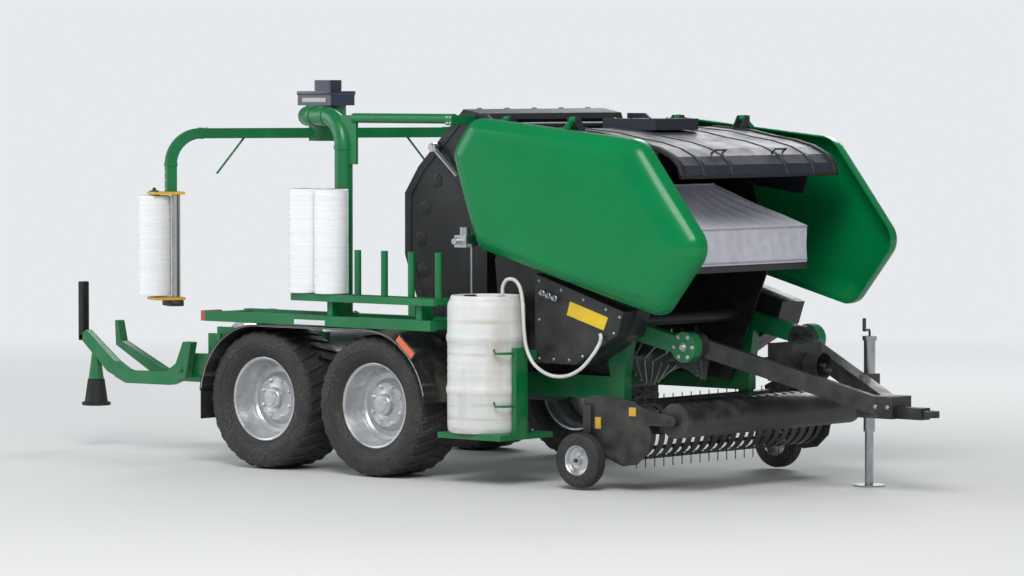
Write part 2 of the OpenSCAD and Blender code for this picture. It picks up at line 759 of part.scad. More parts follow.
// Ring that covers a joint of the gantry's tube
module collar() {
    translate([0, 0, -collar_l / 2]) cylinder(d = mast_d + 12, h = collar_l);
}
module gantry() {
    color(green) at_tandem() {
        translate([mast_x, -mast_y, deck_z + seat]) {
            cylinder(d = 220, h = 16);
            translate([0, 0, 5]) cylinder(d = mast_d, h = gantry_z - mast_bend - deck_z);
        }
        translate([mast_x, -mast_y, gantry_z - mast_bend]) rotate([0, 0, run_1]) {
            collar();
            translate([mast_bend, 0, 0]) rotate([90, 0, 0])
                rotate([0, 0, 90]) rotate_extrude(angle = 90) translate([mast_bend, 0]) circle(d = mast_d);
            translate([mast_bend, 0, mast_bend]) rotate([0, 90, 0]) {
                collar();
                translate([0, 0, -6]) cylinder(d = mast_d, h = norm(run_1_end - [mast_x, -mast_y]) - mast_bend + 12);
            }
        }
        translate([run_1_end[0] + elbow_bend * sin(run_1), run_1_end[1] - elbow_bend * cos(run_1), gantry_z])
            rotate([0, 0, run_2 + 90]) {
                rotate_extrude(angle = run_1 - run_2) translate([elbow_bend, 0]) circle(d = mast_d);
                for (a = [0, run_1 - run_2]) rotate(a) translate([elbow_bend, 0, 0]) rotate([90, 0, 0]) collar();
            }
        strut(
            [run_2_start[0], run_2_start[1], gantry_z] - 6 * [cos(run_2), sin(run_2), 0], [hub_x, 0, gantry_z], mast_d
        );
        translate([hub_x, 0, hub_low]) cylinder(d = hub_d, h = hub_h);
        block([mast_x - 20, -mast_y - 12, gantry_z - mast_bend - 120], [mast_x + 130, 12 - mast_y, tie_z + 20]);
        strut([mast_x + 100, -mast_y, tie_z], [tie_front - 10, -mast_y, tie_z], 70);
        block([tie_front - 58, -mast_y - 45, tie_z - 45], [tie_front, -hood_half - seat, tie_z + 25]);
    }
}

motor = [340, 260, 100];
motor_cap = [160, 120, 90];
module hub_motor() {
    color([0.05, 0.07, 0.2]) at_tandem()
        translate([hub_x, 0, hub_low + hub_h]) {
            translate([-motor[0] / 2, -motor[1] / 2, 0]) cube(motor);
            translate([-60, -motor_cap[1] / 2, motor[2]]) cube(motor_cap);
        }
}

// Draws its children for both satellites, one on each side of the hub
module satellites() {
    at_tandem() translate([hub_x, 0, 0])
        for (k = [0, 1]) rotate(arm_angle + 180 * k) children();
}

arm_bend = 230;
module satellite_arms() {
    color(green) {
        at_tandem() translate([hub_x, 0, arm_z - 60]) cylinder(d = hub_d - 40, h = hub_low - arm_z + 60 - seat);
        satellites() {
            block([0, -arm_s / 2, arm_z - arm_s / 2], [leg_r - arm_bend + 5, arm_s / 2, arm_z + arm_s / 2]);
            translate([leg_r - arm_bend, 0, arm_z])
                cube([24, arm_s + 8, arm_s + 8], center = true);
            translate([leg_r - arm_bend, 0, arm_z - arm_bend]) rotate([90, 0, 0])
                rotate_extrude(angle = 90) translate([arm_bend, 0]) square(arm_s, center = true);
            translate([leg_r, 0, arm_z - arm_bend])
                cube([arm_s + 8, arm_s + 8, 24], center = true);
            block(
                [leg_r - arm_s / 2, -arm_s / 2, film_z + film_l + 25 + seat],
                [leg_r + arm_s / 2, arm_s / 2, arm_z - arm_bend + 5]
            );
            strut([620, 0, arm_z - 10], [850, 0, 2110], 16);
        }
    }
}

module film_dispensers() {
    color([0.9, 0.62, 0.05]) satellites() {
        difference() {
            for (z = [film_z - 25, film_z + film_l + 5])
                block([leg_r - 68, -60, z], [film_r + 40, 155, z + 20]);
            translate([film_r - 130, 120, film_z - 50]) cylinder(d = 20 + 2 * seat, h = film_l + 100);
        }
        block([leg_r - 63, -30, film_z - 24], [leg_r - 11, 30, film_z + film_l + 24]);
        for (z = [film_z - 10, film_z + film_l - 30])
            translate([film_r, 0, z]) cylinder(d = 76 - 2 * seat, h = 40);
    }
}

module film_roll() {
    difference() {
        cylinder(d = film_d, h = film_l);
        translate([0, 0, -1]) cylinder(d = 76, h = film_l + 2);
    }
}
module satellite(k) {
    at_tandem() translate([hub_x, 0, 0]) rotate(arm_angle + 180 * k) children();
}
module film_roll_front() { color("white") satellite(0) translate([film_r, 0, film_z]) film_roll(); }
module film_roll_rear() { color("white") satellite(1) translate([film_r, 0, film_z]) film_roll(); }
module stretch_pair() {
    translate([film_r - 130, 120, film_z - 3]) cylinder(d = 60, h = film_l + 6);
    translate([film_r - 130, 120, film_z - 24]) cylinder(d = 20, h = film_l + 48);
}
module stretch_rollers_front() { color(silver) satellite(0) stretch_pair(); }
module stretch_rollers_rear() { color(silver) satellite(1) stretch_pair(); }

// Wrap table

table_in = table_roller_l / 2 + 20;
module table_frame() {
    color(green) at_tandem() difference() {
        union() {
            both_sides() {
                block([hub_x - 560, table_in, table_z - 60], [hub_x + 560, table_in + 40, table_z + 60]);
                pin_y(50, table_in - 13, rail_y - 3, table_hinge);
            }
            for (x = [-220, 150])
                block([hub_x + x, -table_in - 10, table_z - 60], [hub_x + x + 70, table_in + 10, table_z - 10]);
        }
        for (x = [-1, 1] * table_pitch_half)
            bar_y(50 + 2 * seat, 2 * (table_in + 90), [hub_x + x, 0, table_z]);
    }
}
module table_roller(s) {
    color(silver) at_tandem() {
        bar_y(table_roller_d, table_roller_l, [hub_x + s * table_pitch_half, 0, table_z]);
        bar_y(50, 2 * (table_in + 38), [hub_x + s * table_pitch_half, 0, table_z]);
    }
}
module table_roller_front() { table_roller(1); }
module table_roller_rear() { table_roller(-1); }

// Outlines in X and Z of the tipper's arms, of the right arm's tail and of its inner finger
tip_arm = [
    [-1740, 850], [-1830, 850], [-1900, 680], [-2010, 615], [-2400, 605], [-2520, 640], [-2560, 560],
    [-2440, 515], [-1960, 520], [-1800, 580]
];
tip_tail = [[-2400, 603], [-2560, 675], [-2870, 905], [-2950, 850], [-2640, 595], [-2430, 517]];
tip_finger = [
    [-1850, 680], [-2010, 615], [-2420, 605], [-2870, 800], [-2900, 960], [-2940, 960], [-2930, 770],
    [-2440, 520], [-1960, 520], [-1850, 600]
];
tip_y = rail_y + 48;
tip_w = 70;
// Foot of the tipper: X, height, diameter
tip_foot = [-2790, 330, 220];
module bale_tipper() {
    color(green) at_tandem() {
        bar_y(90, 2 * (rail_y - 30), [tipper_hinge[0], 0, tipper_hinge[1]]);
        bar_y(60, 2 * (tip_y + 7), [tipper_hinge[0], 0, tipper_hinge[1]]);
        both_sides() slab_y(tip_y, tip_y + tip_w) polygon(tip_arm);
        mirror([0, 1, 0]) {
            slab_y(tip_y + 2, tip_y + tip_w - 2) polygon(tip_tail);
            for (y = [tip_y, tip_y + 42])
                block([tip_tail[3][0], y, tip_tail[3][1] - 30], [tip_tail[3][0] + 50, y + 26, 1270]);
            translate([tip_foot[0], tip_y + tip_w / 2, tip_foot[1]]) {
                cylinder(d = tip_foot[2], h = 25);
                translate([0, 0, 20]) cylinder(d1 = 170, d2 = 60, h = 400);
            }
        }
        slab_y(-440, -370) polygon(tip_finger);
    }
}

// Rack, rolls, barrel and hose

function pin_x(i) = pin_first + i * pin_pitch;
module film_racks() {
    color(green) at_tandem() both_sides() {
        for (y = [-70, 70])
            block([pin_first - 60, rack_y + y - 20, rack_z - 50], [pin_x(pin_count - 1) + 35, rack_y + y + 20, rack_z]);
        for (i = [0:pin_count - 1]) {
            block([pin_x(i) - 31, rack_y - 70, rack_z - 45], [pin_x(i) + 31, rack_y + 70, rack_z - 5]);
            translate([pin_x(i), rack_y, rack_z - 20]) cylinder(d = pin_d, h = 340);
        }
        for (x = [150, 1000])
            block([x, rack_y - 85, deck_z + seat], [x + 50, rack_y + 40, rack_z - 40]);
    }
}

module spare_film_rolls() {
    color("white") at_tandem()
        for (i = [0, 1])
            translate([pin_x(i), -rack_y, rack_z]) difference() {
                cylinder(d = film_d, h = film_l);
                translate([0, 0, -1]) cylinder(d = pin_d + 4, h = film_l + 2);
            }
}

barrel_x = 1505;
barrel_top = barrel_z + barrel_h;
module additive_barrel() {
    r = barrel_d / 2;
    h = barrel_h;
    color([0.9, 0.91, 0.9]) at_tandem() translate([barrel_x, barrel_y, barrel_z])
        rotate_extrude()
            polygon([
                [0, 0], [r - 20, 0], [r - 8, 20], [r - 8, 0.28 * h], [r, 0.31 * h], [r - 8, 0.34 * h],
                [r - 8, 0.66 * h], [r, 0.69 * h], [r - 8, 0.72 * h], [r - 8, h - 60], [r - 50, h], [0, h]
            ]);
}

module barrel_bracket() {
    front = barrel_x + barrel_d / 2;
    color(green) at_tandem() {
        block(
            [barrel_x - barrel_d / 2 + 30, barrel_y - barrel_d / 2 + 50, barrel_z - 40 - seat],
            [front + 45, barrel_y + barrel_d / 2 + 50, barrel_z - seat]
        );
        block([front + 5, barrel_y - 60, barrel_z - 20], [front + 45, barrel_y + 60, 960]);
        block([front + 8, barrel_y + 50, 870], [front + 42, -drive_out - seat, 940]);
        block([barrel_x + 40, -drive_in - 3, barrel_z - 30], [barrel_x + 100, 35 - drive_in, drive_outline[5][1] - seat]);
    }
}

// The dosing pump above the barrel, in X and Z
pump = [1270, 1680];
pump_y = -drive_in - 250;
module dosing_pump() {
    color(silver) at_tandem() {
        translate([pump[0], pump_y, pump[1]]) {
            block([-55, -50, -40], [55, 50, 45]);
            translate([0, 0, 40]) cylinder(d = 70, h = 60);
            translate([-25, -40, 3]) rotate([90, 0, 0]) cylinder(d = 44, h = 50);
            block([30, -25, -35], [82, 5, -15]);
        }
        block([pump[0] + 22, pump_y + 30, pump[1] - 25], [pump[0] + 52, -drive_in - seat, pump[1] + 20]);
        translate([pump[0] + 70, pump_y - 10, barrel_top + 5]) cylinder(d = 14, h = pump[1] - 30 - barrel_top);
    }
}

hose_d = 25;
// Route of the dosing hose, from the tandem's middle
hose_route = [
    [1655, -1182, 1315.3], [1655, -1182, 1375], [1690, -1182, 1425], [1755, -1182, 1430], [1805, -1182, 1390],
    [1832, -1182, 1310], [1842, -1182, 1200], [1850, -1182, 1080], [1872, -1182, 960], [1930, -1180, 860],
    [2020, -1175, 800], [2120, -1170, 775], [2230, -1160, 785], [2330, -1145, 835], [2400, -1120, 915],
    [2430, -1080, 990], [2425, -1045, 1040], [2410, -1034, 1070]
];
function tangent(p, i) = let (
    a = p[max(i - 1, 0)],
    b = p[min(i + 1, len(p) - 1)]
) (b - a) / norm(b - a);
function ring(p, i, sides, r) = let (
    t = tangent(p, i),
    u = cross(t, [0, 1, 0]) / norm(cross(t, [0, 1, 0])),
    v = cross(t, u)
) [for (k = [0:sides - 1]) p[i] + r * (cos(360 * k / sides) * u + sin(360 * k / sides) * v)];
module hose_tube(p, d, sides) {
    n = len(p);
    polyhedron(
        points = [for (i = [0:n - 1]) each ring(p, i, sides, d / 2)],
        faces = concat(
            [[for (k = [0:sides - 1]) k]],
            [for (i = [0:n - 2], k = [0:sides - 1])
                [i * sides + k, (i + 1) * sides + k, (i + 1) * sides + (k + 1) % sides, i * sides + (k + 1) % sides]],
            [[for (k = [sides - 1:-1:0]) (n - 1) * sides + k]]
        )
    );
}
module dosing_hose() {
    color("whitesmoke") at_tandem() hose_tube(hose_route, hose_d, 8);
}

module tail_lamps() {
    color([0.6, 0.05, 0.03]) at_tandem() both_sides()
        block([deck_rear - 40, deck_y - 180, deck_low], [deck_rear - seat, deck_y, deck_z]);
}

main_frame();
bogie_beams();
side_decks();
mudguards();
drawbar();
parking_jack();
tyre_rear_right();
rim_rear_right();
tyre_front_right();
rim_front_right();
tyre_rear_left();
rim_rear_left();
tyre_front_left();
rim_front_left();
chamber_front();
top_hood();
net_box();
net_cover();
side_drives();
shell_right();
shell_left();
gearbox();
tailgate();
gate_cylinder_tubes();
gate_cylinder_rods();
feed_rotor();
pickup_frame();
pickup_reel();
crop_roller();
gauge_wheel_right();
gauge_wheel_left();
gantry();
hub_motor();
satellite_arms();
film_dispensers();
film_roll_front();
film_roll_rear();
stretch_rollers_front();
stretch_rollers_rear();
table_frame();
table_roller_front();
table_roller_rear();
bale_tipper();
film_racks();
spare_film_rolls();
additive_barrel();
barrel_bracket();
dosing_pump();
dosing_hose();
tail_lamps();
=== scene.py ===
"""Looks of a towed round baler with its satellite bale wrapper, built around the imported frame."""

import json
import logging
import math
from dataclasses import dataclass
from enum import Enum
from typing import Sequence

import bmesh
import bpy
import numpy as np
from mathutils import Matrix, Vector


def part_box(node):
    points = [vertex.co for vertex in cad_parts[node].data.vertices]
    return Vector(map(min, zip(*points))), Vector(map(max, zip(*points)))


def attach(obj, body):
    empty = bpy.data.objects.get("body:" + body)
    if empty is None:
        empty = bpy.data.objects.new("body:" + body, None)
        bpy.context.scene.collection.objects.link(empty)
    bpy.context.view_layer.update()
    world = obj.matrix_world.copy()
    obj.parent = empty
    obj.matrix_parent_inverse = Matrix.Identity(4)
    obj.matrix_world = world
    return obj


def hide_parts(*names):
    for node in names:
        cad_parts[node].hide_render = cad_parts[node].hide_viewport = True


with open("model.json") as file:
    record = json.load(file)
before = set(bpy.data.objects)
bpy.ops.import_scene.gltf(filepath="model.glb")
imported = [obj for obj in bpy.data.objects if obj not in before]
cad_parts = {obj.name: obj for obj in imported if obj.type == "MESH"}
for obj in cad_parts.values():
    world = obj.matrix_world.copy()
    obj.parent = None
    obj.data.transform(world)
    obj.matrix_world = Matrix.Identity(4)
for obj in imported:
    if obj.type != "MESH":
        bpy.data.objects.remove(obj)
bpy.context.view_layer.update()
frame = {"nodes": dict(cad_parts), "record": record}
LOG = logging.getLogger("baler_wrapper")
TANDEM_X = -0.76
AXLE_HALF = 0.54
TAU = 2 * math.pi
ROAD_DUST = (0.30, 0.27, 0.21)
TYRE_DUST = (0.22, 0.19, 0.145)
DRY_DIRT = (0.2, 0.18, 0.15)
SHELL_FILM = (0.05, 0.14, 0.07)
GRIME = (0.3, 0.29, 0.27)

Point = Sequence[float]
Pair = tuple[float, float]
Spot = tuple[float, float, float]
Color = Spot
Outline = Sequence[Pair]
Line = tuple[Pair, ...]
Piece = bpy.types.Object
Material = bpy.types.Material
Socket = bpy.types.NodeSocket


class Side(Enum):
    """The machine's two sides, by the sign of Y."""

    RIGHT = -1
    LEFT = 1

    def span(self, near: float, far: float) -> list[float]:
        """Two distances from the machine's middle plane, as the lower and the higher Y on this side."""
        return sorted((self.value * near, self.value * far))


class Axis(Enum):
    """Directions in which a turned or extruded shape may stand."""

    X = "x"
    Y = "y"
    Z = "z"


def at(x: float, y: float, z: float) -> Vector:
    """A place whose length along X is counted from the middle of the tandem."""
    return Vector((TANDEM_X + x, y, z))


def polar(radius: float, angle: float) -> Pair:
    """The two coordinates of a point at a distance and an angle, in radians, from a middle."""
    return radius * math.cos(angle), radius * math.sin(angle)


def from_tandem(outline: Outline) -> list[Pair]:
    """An outline in X and Z whose X was counted from the middle of the tandem."""
    return [(TANDEM_X + x, z) for x, z in outline]


def shade(color: Color, share: float) -> Color:
    """A colour made darker or lighter by a factor and kept below white."""
    return tuple(min(1, c * share) for c in color)


class Shader:
    """A material's node tree, with short calls for the nodes that the finishes share."""

    def __init__(self, name: str) -> None:
        """Starts a material of that name with a Principled shader on Object coordinates.

        Args:
            name: The material's name.
        """
        self.material = bpy.data.materials.new(name)
        self.material.use_nodes = True
        self.tree = self.material.node_tree
        self.tree.nodes.clear()
        output = self.node("ShaderNodeOutputMaterial")
        self.bsdf = self.node("ShaderNodeBsdfPrincipled")
        self.tree.links.new(self.bsdf.outputs[0], output.inputs["Surface"])
        self.place = self.node("ShaderNodeTexCoord").outputs["Object"]

    def node(self, kind: str, **values: object) -> bpy.types.Node:
        """Adds a node of that kind and sets its properties.

        Args:
            kind: The node's type.
            values: Its properties by name.

        Returns:
            The node.
        """
        made = self.tree.nodes.new(kind)
        for key, value in values.items():
            setattr(made, key, value)
        return made

    def link(self, source: object, target: Socket) -> None:
        """Links a socket to an input, or writes a plain value there.

        Args:
            source: An output socket or a value.
            target: The input.
        """
        if isinstance(source, Socket):
            self.tree.links.new(source, target)
        else:
            target.default_value = source

    def stretched(self, scale: Point) -> Socket:
        """Object coordinates multiplied by a scale for each axis.

        Args:
            scale: The three factors.

        Returns:
            The result's output socket.
        """
        mapping = self.node("ShaderNodeMapping")
        self.link(self.place, mapping.inputs["Vector"])
        mapping.inputs["Scale"].default_value = scale
        return mapping.outputs[0]

    def noise(self, scale: float, detail: float = 3.0, stretch: Point = (1, 1, 1)) -> Socket:
        """A noise pattern's value.

        Args:
            scale: Waves per metre.
            detail: Octaves of finer noise.
            stretch: A factor on the scale for each axis.

        Returns:
            The value's output socket.
        """
        made = self.node("ShaderNodeTexNoise")
        self.link(self.stretched(stretch), made.inputs["Vector"])
        made.inputs["Scale"].default_value = scale
        made.inputs["Detail"].default_value = detail
        return made.outputs["Fac"]

    def cloud(self, scale: float, detail: float, low: float, high: float, to: Point = (0.0, 1.0),
              stretch: Point = (1, 1, 1)) -> Socket:
        """A noise pattern whose values from low to high are mapped onto another stretch."""
        return self.span(self.noise(scale, detail, stretch), low, high, to)

    def cells(self, scale: float) -> Socket:
        """A random grey for each cell of a Voronoi pattern.

        Args:
            scale: Cells per metre.

        Returns:
            The result's output socket.
        """
        made = self.node("ShaderNodeTexVoronoi")
        self.link(self.place, made.inputs["Vector"])
        made.inputs["Scale"].default_value = scale
        split = self.node("ShaderNodeSeparateColor")
        self.link(made.outputs["Color"], split.inputs[0])
        return split.outputs[0]

    def waves(self, scale: float, direction: str, distortion: float = 0.0) -> Socket:
        """Straight bands along one axis, as of turned or brushed metal and woven cloth.

        Args:
            scale: Bands per metre.
            direction: The axis across which they follow each other.
            distortion: How far they waver.

        Returns:
            The result's output socket.
        """
        made = self.node("ShaderNodeTexWave", bands_direction=direction)
        self.link(self.place, made.inputs["Vector"])
        made.inputs["Scale"].default_value = scale
        made.inputs["Distortion"].default_value = distortion
        made.inputs["Detail"].default_value = 1.0
        return made.outputs["Fac"]

    def span(self, value: Socket, low: float, high: float, to: Point = (0.0, 1.0)) -> Socket:
        """Maps a value's stretch from low to high onto another stretch, held at its ends.

        Args:
            value: The value's socket.
            low: Where its stretch starts.
            high: Where it ends.
            to: Start and end of the new stretch.

        Returns:
            The result's output socket.
        """
        made = self.node("ShaderNodeMapRange")
        self.link(value, made.inputs["Value"])
        for label, number in (("From Min", low), ("From Max", high), ("To Min", to[0]), ("To Max", to[1])):
            made.inputs[label].default_value = number
        return made.outputs[0]

    def calculate(self, operation: str, a: object, b: object) -> Socket:
        """Joins two values by a math operation.

        Args:
            operation: The node's operation.
            a: First value or socket.
            b: Second value or socket.

        Returns:
            The result's output socket.
        """
        made = self.node("ShaderNodeMath", operation=operation)
        self.link(a, made.inputs[0])
        self.link(b, made.inputs[1])
        return made.outputs[0]

    def sum(self, a: object, b: object) -> Socket:
        """The sum of two values."""
        return self.calculate("ADD", a, b)

    def times(self, a: object, b: object) -> Socket:
        """The product of two values."""
        return self.calculate("MULTIPLY", a, b)

    def most(self, a: object, b: object) -> Socket:
        """The larger of two values."""
        return self.calculate("MAXIMUM", a, b)

    def blend(self, factor: object, a: object, b: object) -> Socket:
        """Mixes two colours by a factor.

        Args:
            factor: 0 gives the first and 1 the second.
            a: First colour or socket.
            b: Second colour or socket.

        Returns:
            The result's output socket.
        """
        made = self.node("ShaderNodeMix", data_type="RGBA")
        self.link(factor, made.inputs["Factor"])
        for name, source in (("A", a), ("B", b)):
            socket = [s for s in made.inputs if s.name == name and s.type == "RGBA"][0]
            self.link(source if isinstance(source, Socket) else (*source, 1.0), socket)
        return [s for s in made.outputs if s.type == "RGBA"][0]

    def height(self) -> Socket:
        """How high a point lies above the ground.

        Returns:
            The result's output socket.
        """
        split = self.node("ShaderNodeSeparateXYZ")
        self.link(self.place, split.inputs[0])
        return split.outputs["Z"]

    def bump(self, height: Socket, distance: float, strength: float = 1.0, edge: float = 0.0) -> None:
        """Raises the surface by a height pattern.

        Args:
            height: The pattern, from 0 to 1.
            distance: What 1 stands for, in metres.
            strength: How much of it is used.
            edge: Radius to which sharp edges look rounded, in metres, or 0.
        """
        made = self.node("ShaderNodeBump")
        made.inputs["Strength"].default_value = strength
        made.inputs["Distance"].default_value = distance
        self.link(height, made.inputs["Height"])
        if edge:
            bevel = self.node("ShaderNodeBevel", samples=4)
            bevel.inputs["Radius"].default_value = edge
            self.link(bevel.outputs[0], made.inputs["Normal"])
        self.link(made.outputs[0], self.bsdf.inputs["Normal"])

    def set(self, **values: object) -> None:
        """Sets inputs of the Principled shader, with underscores for spaces."""
        for key, value in values.items():
            self.link(value, self.bsdf.inputs[key.replace("_", " ")])


class Surface:
    """What every finish shares."""

    def material(self, name: str) -> Material:
        """Builds a material of that name.

        Args:
            name: The material's name.

        Returns:
            The material.
        """
        shader = Shader(name)
        self.fill(shader)
        return shader.material

    def fill(self, s: Shader) -> None:
        """Sets the shader up, in each finish's own way."""
        raise NotImplementedError


@dataclass(frozen=True)
class Paint(Surface):
    """Sprayed paint on steel: orange peel, faint colour drift and road dust that settles low down.

    Attributes:
        color: The paint's colour.
        roughness: From mirror, 0, to matt, 1.
        coat: Share of clear gloss on top.
        dust: How much dust lies on it, from 0 to 1.
        dust_top: Height up to which road dust reaches, in metres.
    """

    color: Color
    roughness: float = 0.3
    coat: float = 0.35
    dust: float = 0.35
    dust_top: float = 1.3

    def fill(self, s: Shader) -> None:
        """Sets the shader up.

        Args:
            s: The material's shader.
        """
        body = s.blend(s.cloud(2.2, 4.0, 0.3, 0.7), shade(self.color, 0.72), self.color)
        low = s.span(s.height(), 0.1, self.dust_top, (1.0, 0.12))
        patches = s.cloud(7.0, 6.0, 0.42, 0.72)
        dust = s.times(s.times(low, patches), self.dust)
        s.set(Base_Color=s.blend(dust, body, ROAD_DUST), Coat_Weight=self.coat, Coat_Roughness=0.12)
        s.set(Roughness=s.sum(s.span(patches, 0, 1, (0, 0.12)), s.sum(dust, self.roughness)))
        s.bump(s.noise(170.0, 2.0), distance=0.00012, strength=0.4, edge=0.004)


@dataclass(frozen=True)
class Gloss(Surface):
    """Deep moulded gloss of the side shells: smooth, with a long soft wave and dust along the foot."""

    color: Color
    roughness: float = 0.13

    def fill(self, s: Shader) -> None:
        """Sets the shader up.

        Args:
            s: The material's shader.
        """
        body = s.blend(s.cloud(1.4, 3.0, 0.3, 0.7), shade(self.color, 0.86), self.color)
        low = s.span(s.height(), 1.1, 1.9, (0.3, 0.0))
        film = s.times(low, s.cloud(9.0, 6.0, 0.45, 0.8))
        s.set(Base_Color=s.blend(film, body, SHELL_FILM))
        s.set(Roughness=s.sum(s.cloud(26.0, 5.0, 0.4, 0.8, (0.0, 0.08)), self.roughness))
        s.set(Coat_Weight=0.1, Coat_Roughness=0.12, Specular_IOR_Level=0.22)
        wave = s.sum(s.noise(1.6, 1.0), s.times(s.noise(160.0, 2.0), 0.05))
        s.bump(wave, distance=0.003, strength=0.3)


@dataclass(frozen=True)
class Rubber(Surface):
    """Black rubber with a patchy bloom of dust."""

    color: Color = (0.026, 0.026, 0.028)
    dust: float = 0.4

    def fill(self, s: Shader) -> None:
        """Sets the shader up.

        Args:
            s: The material's shader.
        """
        cloud = s.cloud(6.0, 6.0, 0.35, 0.75)
        fine = s.cloud(60.0, 4.0, 0.4, 0.7)
        dust = s.times(s.times(cloud, fine), self.dust)
        s.set(Base_Color=s.blend(dust, self.color, TYRE_DUST))
        s.set(Roughness=s.span(cloud, 0, 1, (0.55, 0.85)), Specular_IOR_Level=0.4)
        s.bump(s.noise(420.0, 3.0), distance=0.0008, strength=0.5)


@dataclass(frozen=True)
class Metal(Surface):
    """Bare or plated metal.

    Attributes:
        color: The metal's colour.
        roughness: From mirror, 0, to matt, 1.
        spangle: Size of the zinc's flowers per metre, or 0 where the metal has none.
        brushed: Lines per metre left by turning or drawing, which follow each other along Z, or 0.
    """

    color: Color
    roughness: float = 0.3
    spangle: float = 0.0
    brushed: float = 0.0

    def fill(self, s: Shader) -> None:
        """Sets the shader up.

        Args:
            s: The material's shader.
        """
        cloud = s.cloud(5.0, 5.0, 0.3, 0.75)
        base = s.blend(cloud, shade(self.color, 0.78), self.color)
        rough = s.span(cloud, 0, 1, (self.roughness + 0.1, self.roughness))
        if self.spangle:
            flower = s.cells(self.spangle)
            base = s.blend(s.span(flower, 0, 1, (0.0, 0.35)), base, shade(self.color, 1.22))
            rough = s.sum(rough, s.span(flower, 0, 1, (-0.08, 0.1)))
        dirt = s.times(s.cloud(16.0, 6.0, 0.55, 0.8), 0.35)
        s.set(Base_Color=s.blend(dirt, base, DRY_DIRT), Roughness=rough)
        s.set(Metallic=0.85 if self.spangle else 1.0)
        grain = s.noise(300.0, 2.0)
        if self.brushed:
            grain = s.sum(grain, s.waves(self.brushed, "Z", 0.4))
        s.bump(grain, distance=0.0003, strength=0.3, edge=0.002)


@dataclass(frozen=True)
class Plastic(Surface):
    """Moulded or blown plastic.

    Attributes:
        color: The plastic's colour.
        roughness: From mirror, 0, to matt, 1.
        milky: Share of light that scatters inside it.
        grain: Bumps per metre of its surface.
        stain: Colour of what has dried on it.
        stained: How much of that there is, from 0 to 1.
    """

    color: Color
    roughness: float = 0.45
    milky: float = 0.0
    grain: float = 500.0
    stain: Color = (0.3, 0.26, 0.2)
    stained: float = 0.3

    def fill(self, s: Shader) -> None:
        """Sets the shader up.

        Args:
            s: The material's shader.
        """
        cloud = s.cloud(4.0, 6.0, 0.3, 0.75)
        body = s.blend(cloud, shade(self.color, 0.85), self.color)
        runs = s.cloud(5.0, 6.0, 0.52, 0.78, stretch=(1.0, 1.0, 0.25))
        rings = s.cloud(3.0, 4.0, 0.55, 0.75, stretch=(0.4, 0.4, 7.0))
        s.set(Base_Color=s.blend(s.times(s.most(runs, rings), self.stained), body, self.stain))
        s.set(Roughness=s.span(cloud, 0, 1, (self.roughness + 0.12, self.roughness)))
        if self.milky:
            s.set(Subsurface_Weight=self.milky, Subsurface_Scale=0.02)
        s.bump(s.noise(self.grain, 2.0), distance=0.0005, strength=0.35, edge=0.003)


@dataclass(frozen=True)
class StretchFilm(Surface):
    """Wound stretch film: glossy, slightly milky, with the fine rings of its layers."""

    color: Color = (0.86, 0.87, 0.89)

    def fill(self, s: Shader) -> None:
        """Sets the shader up.

        Args:
            s: The material's shader.
        """
        rings = s.noise(2.0, 3.0, (0.5, 0.5, 60.0))
        creases = s.noise(6.0, 5.0, (1.0, 1.0, 5.0))
        s.set(Base_Color=s.blend(s.span(rings, 0.35, 0.7), shade(self.color, 0.9), self.color))
        s.set(Roughness=s.span(creases, 0.3, 0.7, (0.16, 0.34)), Coat_Weight=0.3, Coat_Roughness=0.1)
        s.set(Subsurface_Weight=0.25, Subsurface_Scale=0.02)
        s.bump(s.sum(rings, s.times(creases, 1.5)), distance=0.0012, strength=0.4)


@dataclass(frozen=True)
class Cloth(Surface):
    """Coated woven cloth: a fine weave under a dull coat, greyed in patches."""

    color: Color
    threads: float = 330.0

    def fill(self, s: Shader) -> None:
        """Sets the shader up.

        Args:
            s: The material's shader.
        """
        cloud = s.cloud(5.0, 6.0, 0.3, 0.75)
        body = s.blend(cloud, shade(self.color, 0.8), self.color)
        s.set(Base_Color=s.blend(s.times(s.cloud(14.0, 7.0, 0.5, 0.8), 0.35), body, GRIME))
        s.set(Roughness=s.span(cloud, 0, 1, (0.62, 0.5)), Sheen_Weight=0.2, Sheen_Roughness=0.4)
        weave = s.most(s.waves(self.threads, "Y"), s.waves(self.threads, "Z"))
        creases = s.noise(9.0, 5.0, (1.0, 0.5, 1.6))
        s.bump(s.sum(s.times(weave, 0.08), creases), distance=0.006, strength=0.5)


@dataclass(frozen=True)
class Lens(Surface):
    """Ribbed clear or coloured plastic of a lamp or reflector."""

    color: Color
    ribs: float = 60.0

    def fill(self, s: Shader) -> None:
        """Sets the shader up.

        Args:
            s: The material's shader.
        """
        facets = s.span(s.cells(self.ribs * 4), 0, 1, (0.0, 0.5))
        s.set(Base_Color=s.blend(facets, self.color, shade(self.color, 0.55)))
        s.set(Roughness=0.12, Coat_Weight=0.7, Coat_Roughness=0.05)
        s.bump(s.sum(s.waves(self.ribs, "Y"), s.waves(self.ribs, "Z")), distance=0.0012, strength=0.5)


